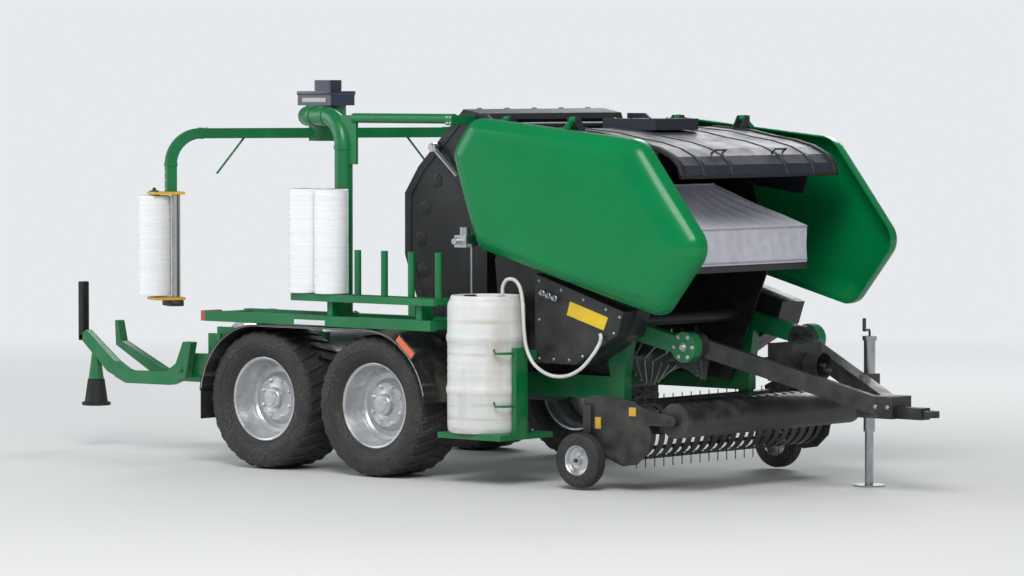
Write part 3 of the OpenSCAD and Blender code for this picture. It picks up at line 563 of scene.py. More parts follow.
class Finish(Enum):
    """Every finish on the machine. The value is the record's slot and how the surface is made."""

    GREEN = ("green_paint", Paint((0.001, 0.175, 0.05), 0.34, 0.1, 0.18))
    DARK = ("dark_paint", Paint((0.017, 0.0185, 0.0215), 0.43, 0.12, 0.2, 1.6))
    SHELL = ("shell_green", Gloss((0.0005, 0.195, 0.056), 0.24))
    SLATE = ("hood_slate", Paint((0.021, 0.025, 0.04), 0.5, 0.05, 0.1, 1.0))
    NAVY = ("motor_navy", Paint((0.018, 0.022, 0.06), 0.3, 0.5, 0.15, 1.0))
    YELLOW = ("yellow_paint", Paint((0.72, 0.42, 0.02), 0.35, 0.3, 0.2))
    TYRE = ("tyre_rubber", Rubber())
    SLEEVE = ("tyre_rubber", Rubber((0.012, 0.012, 0.013), 0.15))
    RIM = ("rim_zinc", Metal((0.66, 0.67, 0.69), 0.34, spangle=38.0))
    STEEL = ("bright_steel", Metal((0.6, 0.61, 0.63), 0.28, brushed=90.0))
    CHROME = ("chrome_rod", Metal((0.8, 0.8, 0.82), 0.08))
    FILM = ("film_white", StretchFilm())
    CORE = ("film_white", Plastic((0.36, 0.25, 0.14), 0.8, grain=180.0))
    BARREL = ("barrel_white", Plastic((0.74, 0.75, 0.74), 0.42, 0.35, 300.0, (0.36, 0.25, 0.16), 0.5))
    GUARD = ("guard_black", Plastic((0.018, 0.019, 0.021), 0.42, grain=260.0, stained=0.4))
    LIP = ("barrel_white", Plastic((0.5, 0.51, 0.5), 0.5, stained=0.3))
    HOSE = ("hose_white", Plastic((0.66, 0.67, 0.64), 0.3, 0.3, stained=0.25))
    CLOTH = ("net_fabric", Cloth((0.6, 0.59, 0.67)))
    SEAM = ("net_fabric", Cloth((0.46, 0.45, 0.52), 500.0))
    RED = ("lamp_red", Lens((0.5, 0.015, 0.01)))
    AMBER = ("lamp_red", Lens((0.78, 0.13, 0.03), 90.0))
    WHITE = ("lamp_red", Lens((0.75, 0.76, 0.77), 90.0))
    PLATE = ("yellow_paint", Plastic((0.83, 0.56, 0.02), 0.38, grain=300.0, stained=0.15))

    @property
    def slot(self) -> str:
        """The record's material slot."""
        return self.value[0]

    def material(self) -> Material:
        """The finish's material, made once."""
        name = self.name.lower()
        return bpy.data.materials.get(name) or self.value[1].material(name)


def turn_to(axis: Axis) -> Matrix:
    """The turn that stands a shape made along Z along another axis.

    Args:
        axis: The other axis.

    Returns:
        The turn.
    """
    if axis is Axis.X:
        return Matrix.Rotation(math.pi / 2, 4, "Y")
    if axis is Axis.Y:
        return Matrix.Rotation(-math.pi / 2, 4, "X")
    return Matrix.Identity(4)


class Builder:
    """Gathers shapes of one piece in a single mesh."""

    def __init__(self) -> None:
        """Starts with an empty mesh."""
        self.bm = bmesh.new()

    def box(self, low: Point, high: Point, bevel: float = 0.003) -> "Builder":
        """A block between two corners with broken edges.

        Args:
            low: The corner with the lowest coordinates.
            high: The opposite corner.
            bevel: Width of the broken edges, or 0.

        Returns:
            The builder itself.
        """
        low, high = Vector(low), Vector(high)
        made = bmesh.ops.create_cube(self.bm, size=1.0)["verts"]
        size = high - low
        matrix = Matrix.Translation((low + high) / 2) @ Matrix.Diagonal((*size, 1.0))
        bmesh.ops.transform(self.bm, matrix=matrix, verts=made)
        if bevel:
            edges = list(dict.fromkeys(e for v in made for e in v.link_edges))
            bmesh.ops.bevel(self.bm, geom=edges, offset=bevel, segments=2, profile=0.7, affect="EDGES")
        return self

    def lathe(self, profile: Outline, steps: int, matrix: Matrix, sign: int = 1) -> "Builder":
        """A shape of revolution about Z, moved by a matrix.

        Args:
            profile: Radius and height of each point, from one end to the other.
            steps: Points round the circle.
            matrix: Where it goes.
            sign: -1 turns the heights round.

        Returns:
            The builder itself.
        """
        rings = []
        for r, h in profile:
            turns = range(steps) if r >= 1e-6 else range(1)
            rings.append([self.bm.verts.new((*polar(r, TAU * k / steps), sign * h)) for k in turns])
        for a, b in zip(rings, rings[1:]):
            for k in range(steps):
                n = (k + 1) % steps
                quad = [a[k % len(a)], a[n % len(a)], b[n % len(b)], b[k % len(b)]]
                corners = list(dict.fromkeys(quad))
                if len(corners) > 2:
                    self.bm.faces.new(corners)
        bmesh.ops.transform(self.bm, matrix=matrix, verts=[v for ring in rings for v in ring])
        return self

    def turned(self, profile: Outline, place: Point, axis: Axis = Axis.Z, steps: int = 48,
               flip: bool = False) -> "Builder":
        """A shape of revolution.

        Args:
            profile: Radius and height of each point, from one end to the other.
            place: Where the profile's height 0 lies.
            axis: The axis it turns about.
            steps: Points round the circle.
            flip: Turns the heights round, for the other side of the machine.

        Returns:
            The builder itself.
        """
        return self.lathe(profile, steps, Matrix.Translation(place) @ turn_to(axis), -1 if flip else 1)

    def rod(self, a: Point, b: Point, radius: float, steps: int = 24, chamfer: float = 0.002) -> "Builder":
        """A round bar between two points with broken ends.

        Args:
            a: Middle of one end.
            b: Middle of the other.
            radius: The bar's radius.
            steps: Points round the circle.
            chamfer: Width of the broken edges.

        Returns:
            The builder itself.
        """
        a, b = Vector(a), Vector(b)
        length = (b - a).length
        c = min(chamfer, radius * 0.4, length * 0.4)
        r = radius - c
        profile = [(0, 0), (r, 0), (radius, c), (radius, length - c), (r, length), (0, length)]
        turn = (b - a).to_track_quat("Z", "Y").to_matrix().to_4x4()
        return self.lathe(profile, steps, Matrix.Translation(a) @ turn)

    def tube(self, points: Sequence[Point], radius: float, steps: int = 16) -> "Builder":
        """A round section swept along a line of points without twist.

        Args:
            points: The middle line.
            radius: The section's radius.
            steps: Points round the section.

        Returns:
            The builder itself.
        """
        path = [Vector(p) for p in points]
        rings: list[list[Vector]] = []
        up, last = Vector((0, 0, 1)), None
        for before, p, after in zip([path[0], *path], path, [*path[1:], path[-1]]):
            along = (after - before).normalized()
            if abs(along.dot(up)) > 0.97:
                up = Vector((0, 1, 0)) if abs(along.y) < 0.9 else Vector((1, 0, 0))
            u = along.cross(up).normalized()
            v = u.cross(along).normalized()
            if last and u.dot(last) < 0:
                u, v = -u, -v
            up, last = v, u
            turns = [polar(1, TAU * k / steps) for k in range(steps)]
            rings.append([p + radius * (c * u + d * v) for c, d in turns])
        return self.skin(rings)

    def prism(self, outline: Outline, low: float, high: float, axis: Axis = Axis.Y,
              bevel: float = 0.002) -> "Builder":
        """An outline made thick between two places along an axis.

        Args:
            outline: Corners in the two other axes, X before Y before Z.
            low: Where it starts.
            high: Where it ends.
            axis: The axis across the outline.
            bevel: Width of its broken edges.

        Returns:
            The builder itself.
        """
        spot = "XYZ".index(axis.name)
        a, b = ([self.bm.verts.new((*p[:spot], t, *p[spot:])) for p in outline] for t in (low, high))
        count = len(outline)
        faces = [self.bm.faces.new(a), self.bm.faces.new(b[::-1])]
        for i in range(count):
            n = (i + 1) % count
            faces.append(self.bm.faces.new((a[i], b[i], b[n], a[n])))
        if bevel:
            edges = list(dict.fromkeys(e for f in faces for e in f.edges))
            bmesh.ops.bevel(self.bm, geom=edges, offset=bevel, segments=1, affect="EDGES")
        return self

    def skin(self, rings: Sequence[Sequence[Point]], closed: bool = True, capped: bool = True) -> "Builder":
        """A surface through rings of equally many points.

        Args:
            rings: The rings, one after the other.
            closed: Joins each ring's last point to its first.
            capped: Fills the first and the last ring.

        Returns:
            The builder itself.
        """
        rows = [[self.bm.verts.new(p) for p in ring] for ring in rings]
        count = len(rows[0])
        for a, b in zip(rows, rows[1:]):
            for k in range(count if closed else count - 1):
                n = (k + 1) % count
                self.bm.faces.new((a[k], a[n], b[n], b[k]))
        if capped:
            self.bm.faces.new(rows[0][::-1])
            self.bm.faces.new(rows[-1])
        return self

    def bolt(self, place: Point, out: Point, size: float = 0.012) -> "Builder":
        """A hexagon head with its washer, facing out.

        Args:
            place: Where the washer lies.
            out: The way the head faces.
            size: Half the head's width.

        Returns:
            The builder itself.
        """
        place, out = Vector(place), Vector(out).normalized()
        matrix = Matrix.Translation(place) @ out.to_track_quat("Z", "Y").to_matrix().to_4x4()
        washer = ((0, -0.2), (1.15, -0.2), (1.15, 0.12), (0, 0.14))
        head = ((0, 0.1), (0.95, 0.1), (0.95, 0.62), (0.8, 0.74), (0, 0.74))
        for profile, steps in ((washer, 20), (head, 6)):
            self.lathe([(r * size, h * size) for r, h in profile], steps, matrix)
        return self

    def mesh(self, name: str, finish: Finish | None = None) -> Piece:
        """Closes the gathered shapes into an object in the scene, with a finish where one is named.

        Args:
            name: The object's name.
            finish: Its finish, if it gets one now.

        Returns:
            The object.
        """
        bmesh.ops.remove_doubles(self.bm, verts=self.bm.verts, dist=1e-6)
        bmesh.ops.recalc_face_normals(self.bm, faces=self.bm.faces)
        data = bpy.data.meshes.new(name)
        self.bm.to_mesh(data)
        self.bm.free()
        if finish:
            data.materials.append(finish.material())
        return placed(name, data)


def placed(name: str, data: object) -> Piece:
    """Puts a mesh, lamp or camera in the scene as an object of that name.

    Args:
        name: The object's name.
        data: What it shows.

    Returns:
        The object.
    """
    made = bpy.data.objects.new(name, data)
    bpy.context.scene.collection.objects.link(made)
    return made


def dress(piece: Piece, finish: Finish, body: str = "chassis", replaces: Sequence[str] = (),
          sharp: float = 35.0) -> Piece:
    """Gives a piece its finish and its place in the machine.

    Args:
        piece: The object, already in place.
        finish: What its surface is.
        body: The body that it moves with.
        replaces: Nodes of the frame that it stands for.
        sharp: Edges sharper than this stay sharp, in degrees.

    Returns:
        The same object.
    """
    if not piece.data.materials:
        piece.data.materials.append(finish.material())
    piece.data.shade_smooth()
    piece.data.set_sharp_from_angle(angle=math.radians(sharp))
    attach(piece, body)
    if replaces:
        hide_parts(*replaces)
    LOG.info("%s: %d faces, rides on %s", piece.name, len(piece.data.polygons), body)
    return piece


def evaluated(piece: Piece) -> Piece:
    """Turns what a piece's modifiers make into its plain mesh.

    Args:
        piece: The object.

    Returns:
        The same object.
    """
    graph = bpy.context.evaluated_depsgraph_get()
    result = bpy.data.meshes.new_from_object(piece.evaluated_get(graph))
    piece.modifiers.clear()
    piece.data = result
    return piece


class Ring:
    """Geometry Nodes that repeat a small shape round Z, then turn and move the whole ring."""

    sockets = (("Shape", "Geometry"), ("Count", "Int"), ("Turn", "Vector"), ("Place", "Vector"),
               ("Material", "Material"))
    kinds = {
        "entry": "NodeGroupInput", "leave": "NodeGroupOutput", "line": "GeometryNodeMeshLine",
        "index": "GeometryNodeInputIndex", "share": "ShaderNodeMath", "angle": "ShaderNodeMath",
        "spin": "ShaderNodeCombineXYZ", "copies": "GeometryNodeInstanceOnPoints",
        "place": "GeometryNodeTransform", "real": "GeometryNodeRealizeInstances",
        "paint": "GeometryNodeSetMaterial",
    }
    links = (
        ("entry", "Count", "line", "Count"), ("index", 0, "share", 0), ("entry", "Count", "share", 1),
        ("share", 0, "angle", 0), ("angle", 0, "spin", "Z"), ("line", 0, "copies", "Points"),
        ("entry", "Shape", "copies", "Instance"), ("spin", 0, "copies", "Rotation"),
        ("copies", 0, "place", "Geometry"), ("entry", "Turn", "place", "Rotation"),
        ("entry", "Place", "place", "Translation"), ("place", 0, "real", 0), ("real", 0, "paint", "Geometry"),
        ("entry", "Material", "paint", "Material"), ("paint", 0, "leave", 0),
    )

    @classmethod
    def tree(cls) -> bpy.types.NodeTree:
        """The node tree, made once.

        Returns:
            The tree.
        """
        found = bpy.data.node_groups.get("ring")
        if found:
            return found
        tree = bpy.data.node_groups.new("ring", "GeometryNodeTree")
        for label, kind in cls.sockets:
            tree.interface.new_socket(label, in_out="INPUT", socket_type="NodeSocket" + kind)
        tree.interface.new_socket("Result", in_out="OUTPUT", socket_type="NodeSocketGeometry")
        nodes = {key: tree.nodes.new(kind) for key, kind in cls.kinds.items()}
        nodes["line"].inputs["Offset"].default_value = (0, 0, 0)
        nodes["share"].operation = "DIVIDE"
        nodes["angle"].operation = "MULTIPLY"
        nodes["angle"].inputs[1].default_value = TAU
        for source, out, target, into in cls.links:
            tree.links.new(nodes[source].outputs[out], nodes[target].inputs[into])
        return tree

    @classmethod
    def of(cls, shape: Piece, count: int, axis: Axis, place: Point, finish: Finish) -> Piece:
        """Repeats a shape, made at the top of the ring, round an axis.

        Args:
            shape: The shape, which becomes the ring.
            count: How many copies the ring has.
            axis: The axis that they stand round.
            place: The ring's middle.
            finish: What the copies are made of.

        Returns:
            The same object, as a plain mesh.
        """
        modifier = shape.modifiers.new("ring", "NODES")
        modifier.node_group = cls.tree()
        sockets = {item.name: item.identifier for item in modifier.node_group.interface.items_tree}
        modifier[sockets["Count"]] = count
        modifier[sockets["Turn"]] = tuple(turn_to(axis).to_euler())
        modifier[sockets["Place"]] = tuple(place)
        modifier[sockets["Material"]] = finish.material()
        return evaluated(shape)


def joined(name: str, pieces: Sequence[Piece]) -> Piece:
    """Joins meshes into one object of that name.

    Args:
        name: The new object's name.
        pieces: The objects, which are used up.

    Returns:
        The new object.
    """
    bm = bmesh.new()
    materials: list[Material] = []
    for piece in pieces:
        own = list(piece.data.materials)
        materials += [m for m in own if m not in materials]
        start = len(bm.faces)
        bm.from_mesh(piece.data)
        bm.faces.ensure_lookup_table()
        for face in bm.faces[start:]:
            face.material_index = materials.index(own[face.material_index])
        bpy.data.objects.remove(piece)
    data = bpy.data.meshes.new(name)
    bm.to_mesh(data)
    bm.free()
    for m in materials:
        data.materials.append(m)
    return placed(name, data)


@dataclass
class Stage:
    """Floor, lamps, world and the camera at the photograph's viewing angle.

    Attributes:
        eye: The camera's place, from the middle of the tandem.
        aim: What it looks at.
        lens: Focal length in millimetres on a 36 mm sensor.
        floor_half: Half the floor's side.
        sky: Colour that the camera sees behind the machine.
        ground: Colour of the floor.
        fade: Distances between which the floor goes over into the sky's colour.
        ambient: Strength of the sky's light.
        mirror: Strength of the sky that glossy surfaces mirror.
    """

    eye: Spot = (22.512, -25.252, 2.82)
    aim: Spot = (0.72, 0.0, 1.3)
    lens: float = 162.0
    floor_half: float = 150.0
    sky: Color = (0.80, 0.82, 0.845)
    ground: Color = (0.62, 0.62, 0.615)
    fade: Pair = (5.0, 17.0)
    ambient: float = 0.55
    mirror: float = 0.2

    def camera(self) -> None:
        """Places the camera."""
        data = bpy.data.cameras.new("camera")
        data.lens = self.lens
        data.clip_end = 400.0
        made = placed("camera", data)
        self.aim_at(made, at(*self.eye), at(*self.aim))
        bpy.context.scene.camera = made

    @staticmethod
    def aim_at(thing: Piece, place: Point, aim: Point) -> None:
        """Puts a lamp or the camera at a place and turns it to a point."""
        thing.location = place
        thing.rotation_euler = (Vector(aim) - Vector(place)).to_track_quat("-Z", "Y").to_euler()

    def floor(self) -> None:
        """A plain pale floor."""
        s = self.floor_half
        data = bpy.data.meshes.new("floor")
        data.from_pydata([(-s, -s, 0), (s, -s, 0), (s, s, 0), (-s, s, 0)], [], [(0, 1, 2, 3)])
        data.materials.append(self.floor_material())
        placed("floor", data)

    def floor_material(self) -> Material:
        """A matt pale floor that goes over into the sky's colour far from the machine.

        Returns:
            The material.
        """
        shader = Shader("floor_pale")
        shader.set(Base_Color=(*self.ground, 1.0), Roughness=0.9, Specular_IOR_Level=0.1)
        distance = shader.node("ShaderNodeVectorMath", operation="LENGTH")
        shader.link(shader.place, distance.inputs[0])
        glow = shader.node("ShaderNodeEmission")
        glow.inputs["Color"].default_value = (*self.sky, 1.0)
        mix = shader.node("ShaderNodeMixShader")
        output = [n for n in shader.tree.nodes if n.type == "OUTPUT_MATERIAL"][0]
        shader.link(shader.span(distance.outputs["Value"], *self.fade), mix.inputs[0])
        shader.link(shader.bsdf.outputs[0], mix.inputs[1])
        shader.link(glow.outputs[0], mix.inputs[2])
        shader.link(mix.outputs[0], output.inputs["Surface"])
        return shader.material

    def lamps(self) -> None:
        """A high soft key from the camera's right, a broad fill and a lamp behind the machine."""
        for name, place, aim, size, watts, tint in (
            ("key", (7.5, -11.0, 12.0), (0, 0, 1.0), 7.0, 1850.0, (1.0, 0.985, 0.96)),
            ("fill", (-11.0, -7.0, 6.0), (-0.5, 0, 1.0), 8.0, 560.0, (0.94, 0.97, 1.0)),
            ("back", (-4.0, 12.0, 9.0), (0, 0, 1.2), 7.0, 900.0, (1, 1, 1)),
        ):
            data = bpy.data.lights.new(name, "AREA")
            data.shape, data.size, data.energy, data.color = "SQUARE", size, watts, tint
            self.aim_at(placed(name, data), place, aim)

    def world(self) -> None:
        """An even sky, which the camera, glossy surfaces and the rest see at their own strengths."""
        world = bpy.data.worlds.new("sky")
        bpy.context.scene.world = world
        world.use_nodes = True
        tree = world.node_tree
        tree.nodes.clear()
        output = tree.nodes.new("ShaderNodeOutputWorld")
        path = tree.nodes.new("ShaderNodeLightPath")
        for ray, color, strength in (
            ("", (0.9, 0.95, 1.0), self.ambient),
            ("Is Glossy Ray", (0.8, 0.9, 0.95), self.mirror),
            ("Is Camera Ray", self.sky, 1.0),
        ):
            background = tree.nodes.new("ShaderNodeBackground")
            background.inputs["Color"].default_value = (*color, 1.0)
            background.inputs["Strength"].default_value = strength
            shown = background.outputs[0]
            if ray:
                mix = tree.nodes.new("ShaderNodeMixShader")
                tree.links.new(path.outputs[ray], mix.inputs[0])
                tree.links.new(light, mix.inputs[1])
                tree.links.new(shown, mix.inputs[2])
                shown = mix.outputs[0]
            light = shown
        tree.links.new(light, output.inputs["Surface"])

    def build(self) -> None:
        """Sets the floor, the lamps and the sky."""
        bpy.context.scene.view_settings.view_transform = "Standard"
        self.floor()
        self.lamps()
        self.world()


@dataclass
class DosingHose:
    """The dosing hose from the barrel's cap to the drive housing.

    Attributes:
        diameter: Outside diameter in metres.
        route: Its middle line, from the middle of the tandem.
    """

    diameter: float = 0.025
    route: tuple[Spot, ...] = (
        (1.655, -1.182, 1.3153), (1.655, -1.182, 1.375), (1.69, -1.182, 1.425), (1.755, -1.182, 1.43),
        (1.805, -1.182, 1.39), (1.832, -1.182, 1.31), (1.842, -1.182, 1.2), (1.85, -1.182, 1.08),
        (1.872, -1.182, 0.96), (1.93, -1.18, 0.86), (2.02, -1.175, 0.8), (2.12, -1.17, 0.775),
        (2.23, -1.16, 0.785), (2.33, -1.145, 0.835), (2.4, -1.12, 0.915), (2.43, -1.08, 0.99),
        (2.425, -1.045, 1.04), (2.41, -1.034, 1.07),
    )

    def line(self, per_span: int = 4) -> list[Vector]:
        """The middle line, rounded through its points by Catmull-Rom spans.

        Args:
            per_span: Points from one of the route's points to the next.

        Returns:
            The line's points.
        """
        points = [at(*p) for p in self.route]
        ends = [points[0] * 2 - points[1], *points, points[-1] * 2 - points[-2]]
        made: list[Vector] = []
        for a, b, c, d in zip(ends, ends[1:], ends[2:], ends[3:]):
            for k in range(per_span):
                t = k / per_span
                made.append(0.5 * (2 * b + (c - a) * t + (2 * a - 5 * b + 4 * c - d) * t ** 2
                                   + (3 * b - a - 3 * c + d) * t ** 3))
        return [*made, points[-1]]

    def build(self) -> None:
        line = self.line()
        piece = Builder().tube(line, self.diameter / 2, 16).mesh("dosing_hose_tube")
        dress(piece, Finish.HOSE, replaces=["dosing_hose"], sharp=60)


@dataclass
class Wheels:
    """Four flotation tyres on deep dished rims.

    Attributes:
        radius: Outside radius of a tyre.
        half_width: Half its width.
        rim_radius: Radius of a rim at its flanges.
        track: Distance of a tyre's middle from the machine's middle plane.
        pitch_half: Half the distance between the axles.
        lugs: Tread bars on each half of a tyre.
        lug_height: How far they stand proud.
        nuts: Wheel nuts of a rim.
        nut_circle: Radius of the circle that they stand on.
    """

    radius: float = 0.505
    half_width: float = 0.24
    rim_radius: float = 0.3025
    track: float = 1.1
    pitch_half: float = AXLE_HALF
    lugs: int = 30
    lug_height: float = 0.011
    nuts: int = 8
    nut_circle: float = 0.1375

    def carcass(self) -> list[Pair]:
        """Half of a tyre's section as radius and distance from its middle, from the crown to the bead.

        Returns:
            The section's points.
        """
        r, w = self.radius - self.lug_height, self.half_width
        shoulder = [
            (r - 0.044 * (1 - math.cos(a)) - 0.002, w - 0.056 + 0.05 * math.sin(a))
            for a in (math.radians(d) for d in range(0, 80, 13))
        ]
        flank = [
            (r - 0.06, w - 0.003), (r - 0.085, w), (r - 0.098, w - 0.001), (r - 0.101, w - 0.005),
            (r - 0.112, w - 0.006), (r - 0.13, w - 0.014), (r - 0.152, w - 0.028), (r - 0.168, w - 0.044),
            (self.rim_radius + 0.014, w - 0.057), (self.rim_radius + 0.003, w - 0.062),
            (self.rim_radius - 0.01, w - 0.068),
        ]
        return [(r, 0.0), (r, 0.07), (r - 0.001, 0.14)] + shoulder + flank

    def crown(self, y: float) -> float:
        """Radius of the carcass at a distance from its middle, for the tread to lie on.

        Args:
            y: The distance from the tyre's middle.

        Returns:
            The radius.
        """
        section = self.carcass()
        for (r0, y0), (r1, y1) in zip(section, section[1:]):
            if y0 <= y <= y1:
                return r0 + (r1 - r0) * (y - y0) / max(y1 - y0, 1e-9)
        return section[-1][0]

    def lug(self, mirrored: bool, stations: int = 9) -> Builder:
        """One swept tread bar from the middle to the shoulder, at the top of the tyre.

        Args:
            mirrored: Makes it for the tyre's other half.
            stations: Sections along the bar.

        Returns:
            The builder that holds it.
        """
        sign = -1 if mirrored else 1
        step = math.pi / self.lugs
        rings = []
        for i in range(stations):
            t = i / (stations - 1)
            y = 0.006 + t * (self.half_width - 0.024)
            middle = step * (0.5 if mirrored else -0.5) + 0.52 * t ** 0.9 * step * 2.4
            half = 0.30 * step * (1 + 0.25 * t)
            base = self.crown(y) - 0.004
            top = base + 0.004 + self.lug_height * (1 - 0.35 * t ** 3)
            section = ((base, 1.25), (top, 0.9), (top, -0.9), (base, -1.25))
            rings.append([(*polar(r, middle + half * spread), sign * y) for r, spread in section])
        return Builder().skin(rings)

    def tyre(self, name: str, place: Vector) -> Piece:
        """A tyre with both rows of tread bars.

        Args:
            name: The piece's name.
            place: The wheel's middle.

        Returns:
            The tyre.
        """
        half = self.carcass()
        section = [(r, -y) for r, y in reversed(half)] + half[1:]
        body = Builder().turned(section, place, Axis.Y, 120).mesh(name + "_carcass", Finish.TYRE)
        rows = [
            Ring.of(self.lug(m).mesh(name + "_lug"), self.lugs, Axis.Y, place, Finish.TYRE)
            for m in (False, True)
        ]
        return joined(name, [body, *rows])

    def rim(self, name: str, place: Vector, side: Side) -> Piece:
        """A dished rim with flanges, nuts, hub and valve, with its dish away from the machine.

        Args:
            name: The piece's name.
            place: The wheel's middle.
            side: The machine's side that it is on.

        Returns:
            The rim.
        """
        r, w = self.rim_radius - 0.0005, self.half_width - 0.058
        barrel = [
            (r - 0.002, -w + 0.006), (r + 0.003, -w), (r - 0.004, -w - 0.004), (r - 0.016, -w + 0.002),
            (r - 0.02, -w + 0.02), (r - 0.026, -w + 0.05), (r - 0.05, -w + 0.075), (r - 0.052, 0.045),
            (r - 0.026, 0.09), (r - 0.022, w - 0.03), (r - 0.016, w - 0.004), (r - 0.004, w + 0.004),
            (r + 0.003, w), (r - 0.002, w - 0.006),
        ]
        dish = [
            (r - 0.051, 0.052), (r - 0.058, 0.03), (r - 0.075, 0.014), (0.19, 0.012), (0.178, 0.022),
            (0.165, 0.046), (0.155, 0.056), (0.085, 0.058), (0.078, 0.062), (0.076, 0.1), (0.07, 0.108),
            (0.05, 0.111), (0.046, 0.118), (0.02, 0.121), (0, 0.121),
        ]
        back = [(r - 0.051, 0.052), (r - 0.064, 0.02), (r - 0.08, 0.004), (0.16, 0.002), (0.075, 0.002)]
        outward = side.value
        made = Builder()
        for profile in (barrel, dish, back):
            made.turned(profile, place, Axis.Y, 96, side is Side.RIGHT)
        for k in range(self.nuts):
            x, z = polar(self.nut_circle, TAU * (k + 0.5) / self.nuts)
            made.bolt(place + Vector((x, outward * 0.058, z)), (0, outward, 0), 0.017)
        valve = place + Vector((0.0, outward * 0.1, r - 0.045))
        made.rod(valve, valve + Vector((0, outward * 0.05, -0.014)), 0.005, 10)
        return made.mesh(name, Finish.RIM)

    def build(self) -> None:
        """Makes the four wheels."""
        for label, along in (("rear", -1), ("front", 1)):
            for side in Side:
                tag = f"{label}_{side.name.lower()}"
                place = at(along * self.pitch_half, side.value * self.track, self.radius)
                body = f"wheel_{tag}"
                dress(self.tyre(f"tyre_{tag}_worn", place), Finish.TYRE, body, [f"tyre_{tag}"], 30)
                dress(self.rim(f"rim_{tag}_dished", place, side), Finish.RIM, body, [f"rim_{tag}"], 30)


